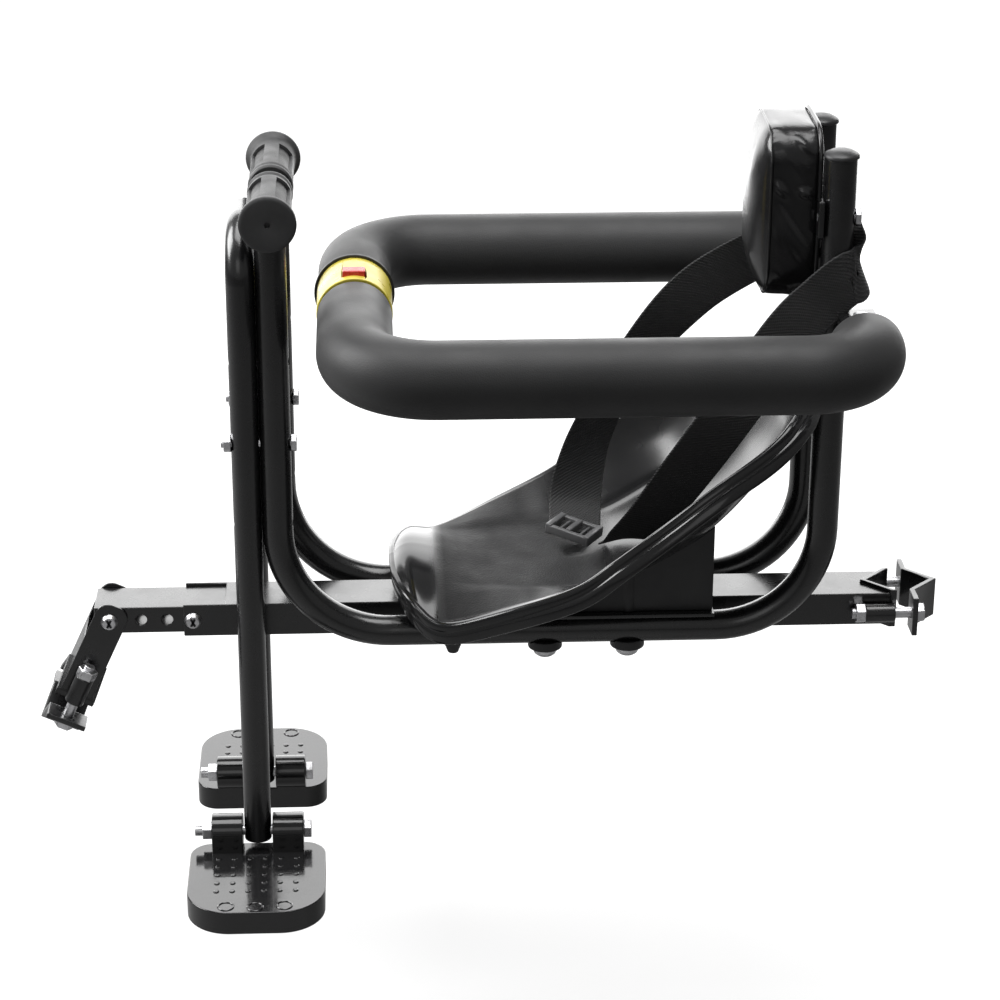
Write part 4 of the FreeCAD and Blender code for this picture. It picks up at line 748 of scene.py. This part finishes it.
# Guardrail: two bent steel cores in thick closed-cell foam sleeves, matte dark grey with a fine
# skin, cut square at the ends. Each half swings on a pin behind the post.
foam, tree, shader = new_finish("foam_sleeve", (0.035, 0.035, 0.0355), 0.5,
                                {"Sheen Weight": 0.05, "Sheen Roughness": 0.5, "Specular IOR Level": 0.26})
where = vary(tree, shader, (35, 0.44, 0.56), (14, (0.031, 0.031, 0.0315), (0.040, 0.040, 0.0405)), detail=6.0)
cells = add(tree, "ShaderNodeTexVoronoi", {"Vector": where, "Scale": 1100})
relief(tree, shader, cells.outputs["Distance"], 0.0002, 0.35)

FOAM, CORE, RAIL_BEND, REAR_BEND = 0.053, 0.0204, 0.055, 0.0465
RAIL_FRONT, RAIL_REAR, RAIL_HALF, RAIL_HEIGHT = -0.3975, -0.049, 0.140, 0.230
REAR_END, FOAM_EDGE, FOAM_EDGE_ANGLE, FOAM_AROUND = 0.0885, 0.003, math.radians(50), 96
for side, name, body in ((-1, "left_rail_foam", "left_rail"), (1, "right_rail_foam", "right_rail")):
    low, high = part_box(name)
    front_end = high.y if side < 0 else low.y
    route = [(RAIL_FRONT, front_end, RAIL_HEIGHT), (RAIL_FRONT, side * RAIL_HALF, RAIL_HEIGHT),
             (RAIL_REAR, side * RAIL_HALF, RAIL_HEIGHT), (RAIL_REAR, side * REAR_END, RAIL_HEIGHT)]
    path = path_mesh(name + "_line", route)
    path.attributes.new("bend", "FLOAT", "POINT").data.foreach_set("value", (0, RAIL_BEND, REAR_BEND, 0))
    sleeve = grow(name, pipe_tree, path,
                  {"Diameter": FOAM, "Bend": 0.0, "Around": FOAM_AROUND, "Finish": foam},
                  [("SOLIDIFY", {"thickness": (FOAM - CORE) / 2, "offset": -1}),
                   ("BEVEL", {"width": FOAM_EDGE, "segments": 3, "limit_method": "ANGLE",
                              "angle_limit": FOAM_EDGE_ANGLE})])
    settle(name.replace("foam", "sleeve"), sleeve, foam, body, (name,))

# Guardrail buckle: moulded yellow sleeve with a black rim on the right half, the tongue on the
# left half, and a red push button that stands in a slot on top.
yellow, tree, shader = new_finish("yellow_plastic", (0.72, 0.60, 0.07), 0.34)
where = vary(tree, shader, (80, 0.24, 0.4), (40, (0.68, 0.56, 0.06), (0.76, 0.64, 0.085)))
relief(tree, shader, cloud(tree, where, 1300), 0.0002, 0.15)
red, tree, shader = new_finish("red_plastic", (0.62, 0.03, 0.025), 0.3)
vary(tree, shader, (200, 0.22, 0.38), (90, (0.55, 0.025, 0.02), (0.68, 0.04, 0.03)))
SLEEVE_EDGE, RIM_EDGE, BUTTON_EDGE = 0.0008, 0.0006, 0.0010
soften("buckle_sleeve", "right_rail", SLEEVE_EDGE, yellow, segments=3)
soften("buckle_rim", "right_rail", RIM_EDGE, soft_plastic)
soften("buckle_tongue", "left_rail", RIM_EDGE, soft_plastic)
soften("release_button", "release_button", BUTTON_EDGE, red, segments=3)

# Harness straps: black polyester webbing in a diagonal twill, looped round the posts and led down
# to the pan. The left one ends on the pan, the right one runs into the slider.
webbing, tree, shader = new_finish("black_webbing", (0.014, 0.014, 0.0145), 0.62,
                                   {"Sheen Weight": 0.08, "Sheen Roughness": 0.4})
RIB, RIB_SLOPE, WARP, WEAVE_SPAN = 0.0026, 0.8, 0.0011, 1.6
flat = add(tree, "ShaderNodeUVMap", uv_map="weave").outputs["UV"]
split = add(tree, "ShaderNodeSeparateXYZ", {"Vector": flat}).outputs
lead = maths(tree, "ADD", split["Y"], maths(tree, "MULTIPLY", split["X"], RIB_SLOPE))
rib = maths(tree, "SINE", maths(tree, "MULTIPLY", lead, 2 * math.pi / RIB))
warp = maths(tree, "SINE", maths(tree, "MULTIPLY", split["X"], 2 * math.pi / WARP))
weave = maths(tree, "ADD", maths(tree, "MULTIPLY", rib, warp), rib)
shade = add(tree, "ShaderNodeMapRange",
            {"Value": weave, "From Min": -WEAVE_SPAN, "From Max": WEAVE_SPAN}).outputs["Result"]
tree.links.new(tint(tree, shade, (0.0025, 0.0025, 0.003), (0.018, 0.018, 0.0185)),
               shader.inputs["Base Color"])
relief(tree, shader, shade, 0.0005, 1.0)

STRAP_WIDTH, STRAP_THICK, STRAP_EDGE, STRAP_STEPS = 0.038, 0.0016, 0.0008, 10
half, flat_half, deep = STRAP_WIDTH / 2, STRAP_WIDTH / 2 - STRAP_EDGE, STRAP_THICK / 2
STRAP_SECTION = [(-half, 0), (-flat_half, deep), (0, deep), (flat_half, deep), (half, 0),
                 (flat_half, -deep), (0, -deep), (-flat_half, -deep)]


def strap_mesh(route, steps):
    """Sweeps the strap's section along a smooth line; each row is a point and where its width points."""
    rows = [list(point) + list(wide) for point, wide in route]
    places = [spline_at(rows, step / steps) for step in range((len(rows) - 1) * steps + 1)]
    points = [Vector(place[:3]) for place in places]
    shell = bmesh.new()
    weave = shell.loops.layers.uv.new("weave")
    rings, lengths, travelled = [], [], 0.0
    for index, place in enumerate(places):
        run = (points[min(index + 1, len(points) - 1)] - points[max(index - 1, 0)]).normalized()
        wide = Vector(place[3:])
        wide = (wide - run * wide.dot(run)).normalized()
        deep = run.cross(wide)
        if index:
            travelled += (points[index] - points[index - 1]).length
        lengths.append(travelled)
        rings.append([shell.verts.new(points[index] + wide * u + deep * v) for u, v in STRAP_SECTION])
    count = len(STRAP_SECTION)
    for index in range(len(rings) - 1):
        for corner in range(count):
            after = (corner + 1) % count
            face = shell.faces.new((rings[index][corner], rings[index][after], rings[index + 1][after],
                                    rings[index + 1][corner]))
            places_round = ((corner, index), (after, index), (after, index + 1), (corner, index + 1))
            for loop, (c, i) in zip(face.loops, places_round):
                loop[weave].uv = (STRAP_SECTION[c][0] + STRAP_WIDTH / 2, lengths[i])
    shell.faces.new(rings[0][::-1])
    shell.faces.new(rings[-1])
    bmesh.ops.recalc_face_normals(shell, faces=shell.faces)
    return shell, travelled


WRAP, WRAP_HEIGHT = 0.0122, 0.275
# a strap comes loosely round its post: angle about the post, lift and distance from the post's axis
WRAP_ROWS = [(100, 0.020, WRAP), (60, 0.013, 0.0140), (15, 0.003, 0.0165), (-30, -0.004, 0.0165),
             (-65, -0.006, 0.0140)]


def post_wrap(side):
    """Rows of a strap from the inner side of its post, over the back, to the outer side."""
    rows = []
    for angle, lift, radius in WRAP_ROWS:
        turn = math.radians(angle)
        spot = (post_x + radius * math.cos(turn), side * (post_y - radius * math.sin(turn)),
                WRAP_HEIGHT + lift)
        rows.append((spot, (0.3 - 0.2 * math.sin(turn), 0, -1)))
    return rows


LEFT_STRAP = post_wrap(-1) + [
    ((post_x - 0.012, -post_y - 0.0128, 0.2530), (0.72, 0, -0.70)),
    ((post_x - 0.034, -post_y - 0.0165, 0.2310), (0.76, 0, -0.65)),
    ((-0.138, -0.066, 0.172), (0.85, 0, -0.50)),
    ((-0.166, -0.058, 0.126), (0.88, 0.05, -0.42)),
    ((-0.187, -0.050, 0.092), (0.90, 0.20, -0.30)),
    ((-0.204, -0.041, 0.072), (0.90, 0.35, -0.12)),
    ((-0.213, -0.034, 0.0655), (0.85, 0.50, 0.0)),
]
RIGHT_STRAP = post_wrap(1) + [
    ((post_x - 0.012, post_y + WRAP, 0.270), (0.70, 0, -0.70)),
    ((post_x - 0.034, post_y + 0.0150, 0.254), (0.70, 0, -0.70)),
    ((-0.149, 0.066, 0.219), (0.70, 0, -0.70)),
    ((-0.196, 0.059, 0.166), (0.68, 0.45, -0.56)),
    ((-0.222, 0.052, 0.119), (0.80, 0.40, -0.35)),
    ((-0.232, 0.045, 0.090), (0.96, 0.20, -0.15)),
    ((-0.236, 0.036, 0.070), (1.0, -0.1, -0.05)),
    ((-0.237, 0.025, 0.0612), (1.0, -0.3, -0.05)),
    ((-0.238, 0.013, 0.0560), (1.0, -0.5, -0.05)),
    ((-0.2385, 0.004, 0.0545), (1.0, -0.5, -0.05)),
]
for name, route in (("left_strap", LEFT_STRAP), ("right_strap", RIGHT_STRAP)):
    shell, length = strap_mesh(route, STRAP_STEPS)
    strap = loose_mesh(name + "_webbing", shell, webbing, "frame", (name,))

# Harness slider: moulded grey-black frame with a raised middle bar and a thinner bar on each side
# of it, lying on the pan where the right strap runs into it.
slider_plastic, tree, shader = new_finish("slider_plastic", (0.11, 0.11, 0.112), 0.3)
vary(tree, shader, (120, 0.28, 0.44), (60, (0.090, 0.090, 0.092), (0.135, 0.135, 0.138)))
low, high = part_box("harness_buckle")
middle = (low + high) / 2
BUCKLE_BARS = [
    # each bar: its middle and its half sizes, along the buckle, across it and up
    ((-0.0185, 0, 0), (0.0028, 0.0135, 0.0042)), ((0.0185, 0, 0), (0.0028, 0.0135, 0.0042)),
    ((0, 0.0115, 0), (0.0190, 0.0022, 0.0034)), ((0, -0.0115, 0), (0.0190, 0.0022, 0.0034)),
    ((0, 0, 0.0008), (0.0024, 0.0110, 0.0040)), ((-0.0095, 0, -0.001), (0.0012, 0.0110, 0.0026)),
    ((0.0095, 0, -0.001), (0.0012, 0.0110, 0.0026)),
]
BAR_EDGE, SLIDER_SCALE, SLIDER_SHIFT = 0.0009, (0.84, 0.92, 0.95), (0.002, 0.006, 0.002)
SLIDER_TURN, SLIDER_TILT = math.radians(-32), math.radians(7)
shell = bmesh.new()
for centre, half in BUCKLE_BARS:
    cube = bmesh.ops.create_cube(shell, size=2.0)["verts"]
    for vert in cube:
        vert.co = Vector(a * b for a, b in zip(vert.co, half)) + Vector(centre)
    edges = list({edge for vert in cube for edge in vert.link_edges})
    bmesh.ops.bevel(shell, geom=edges, offset=BAR_EDGE, segments=3, profile=0.5, affect="EDGES",
                    clamp_overlap=True)
bmesh.ops.scale(shell, verts=shell.verts, vec=SLIDER_SCALE)
bmesh.ops.rotate(shell, verts=shell.verts, cent=(0, 0, 0),
                 matrix=Matrix.Rotation(SLIDER_TURN, 3, "Z") @ Matrix.Rotation(SLIDER_TILT, 3, "Y"))
bmesh.ops.translate(shell, verts=shell.verts, vec=middle + Vector(SLIDER_SHIFT))
loose_mesh("harness_slider", shell, slider_plastic, "frame", ("harness_buckle",))

# Studio: pale floor well below the part, white surroundings and soft boxes: a broad card behind, a
# tall one in front of the seat's nose, one overhead and a weak fill beside the camera. To the
# camera the floor glows up to white, and less under the part, where its faint shadow stays.
FLOOR_HEIGHT, FLOOR_HALF = -0.32, 9
SHADOW_MIDDLE, SHADOW_REACH, SHADOW_GLOW, OPEN_GLOW = (-0.3, 0, FLOOR_HEIGHT), (0.2, 0.85), 0.75, 1.02
floor_finish, tree, shader = new_finish("pale_floor", (0.22, 0.22, 0.22), 0.9)
light_path = add(tree, "ShaderNodeLightPath").outputs
spot = add(tree, "ShaderNodeVectorMath", {0: add(tree, "ShaderNodeNewGeometry").outputs["Position"],
                                          1: SHADOW_MIDDLE}, operation="DISTANCE")
lift = add(tree, "ShaderNodeMapRange",
           {"Value": spot.outputs["Value"], "From Min": SHADOW_REACH[0], "From Max": SHADOW_REACH[1],
            "To Min": SHADOW_GLOW, "To Max": OPEN_GLOW})
share = maths(tree, "MULTIPLY", light_path["Is Camera Ray"], lift.outputs["Result"])
glow = add(tree, "ShaderNodeEmission", {"Color": (1, 1, 1, 1), "Strength": share})
blend = add(tree, "ShaderNodeAddShader", {0: shader.outputs["BSDF"], 1: glow.outputs["Emission"]})
tree.links.new(blend.outputs["Shader"], tree.nodes["Material Output"].inputs["Surface"])
mesh = bpy.data.meshes.new("floor")
corners = [(x * FLOOR_HALF, y * FLOOR_HALF, FLOOR_HEIGHT) for x, y in ((-1, -1), (1, -1), (1, 1), (-1, 1))]
mesh.from_pydata(corners, [], [(0, 1, 2, 3)])
mesh.materials.append(floor_finish)
floor = put("floor", mesh)

# the world is white to the camera, dim as a lamp, and a little brighter in reflections
WORLD_DIM, WORLD_WHITE, WORLD_SHINE = 0.05, 1.05, 0.22
world = bpy.data.worlds.new("white_studio")
bpy.context.scene.world = world
world.use_nodes = True
tree = world.node_tree
light_path = add(tree, "ShaderNodeLightPath").outputs
seen = maths(tree, "MAXIMUM", light_path["Is Camera Ray"], light_path["Is Transmission Ray"])
level = add(tree, "ShaderNodeMapRange", {"Value": seen, "To Min": WORLD_DIM, "To Max": WORLD_WHITE})
shine = maths(tree, "MULTIPLY_ADD", light_path["Is Glossy Ray"], WORLD_SHINE, level.outputs["Result"])
tree.links.new(shine, tree.nodes["Background"].inputs["Strength"])
tree.nodes["Background"].inputs["Color"].default_value = (1, 1, 1, 1)


def soft_box(name, spot, target, width, height, power):
    """Lamp of a width and a height at a spot, turned to a target and hidden from the camera."""
    lamp = bpy.data.lights.new(name, "AREA")
    lamp.shape, lamp.size, lamp.size_y, lamp.energy = "RECTANGLE", width, height, power
    box = put(name, lamp)
    box.location = spot
    box.rotation_euler = (Vector(target) - Vector(spot)).to_track_quat("-Z", "Y").to_euler()
    box.visible_camera = False


soft_box("back_card", (-0.3, 2.0, 0.75), (-0.3, 0, 0.75), 3.4, 2.1, 72)
soft_box("nose_box", (-2.0, 0.3, 1.15), (-0.35, 0, 0.15), 1.1, 1.2, 50)
soft_box("overhead_box", (-0.35, -0.1, 2.1), (-0.3, 0, 0), 1.8, 1.4, 46)
soft_box("fill_box", (-0.9, -2.4, 1.2), (-0.3, 0, 0.1), 1.2, 1.0, 3)

# Camera: the photograph's view, from the left side of the seat and above, solved from points
# measured on the tubes, the beam and the grips.
LENS_PIXELS, FRAME_PIXELS, SENSOR = 2828.6, 1000, 36.0
CAMERA_REACH, CAMERA_PITCH, CAMERA_YAW, CAMERA_ROLL = 2.0629, 23.03, 2.885, 0.24
CAMERA_TARGET = Vector((-0.29395, 0, 0.083525))
pitch, yaw, roll = (math.radians(angle) for angle in (CAMERA_PITCH, CAMERA_YAW, CAMERA_ROLL))
back = Vector((-math.sin(yaw) * math.cos(pitch), -math.cos(yaw) * math.cos(pitch), math.sin(pitch)))
right = Vector((math.cos(yaw), -math.sin(yaw), 0))
up = back.cross(right)
right, up = right * math.cos(roll) + up * math.sin(roll), up * math.cos(roll) - right * math.sin(roll)
lens = bpy.data.cameras.new("photograph_view")
lens.sensor_width = SENSOR
lens.lens = LENS_PIXELS / FRAME_PIXELS * SENSOR
camera = put("photograph_view", lens)
camera.matrix_world = (Matrix.Translation(CAMERA_TARGET + back * CAMERA_REACH)
                       @ Matrix((right, up, back)).transposed().to_4x4())
bpy.context.scene.camera = camera
bpy.context.scene.view_settings.view_transform = "Standard"
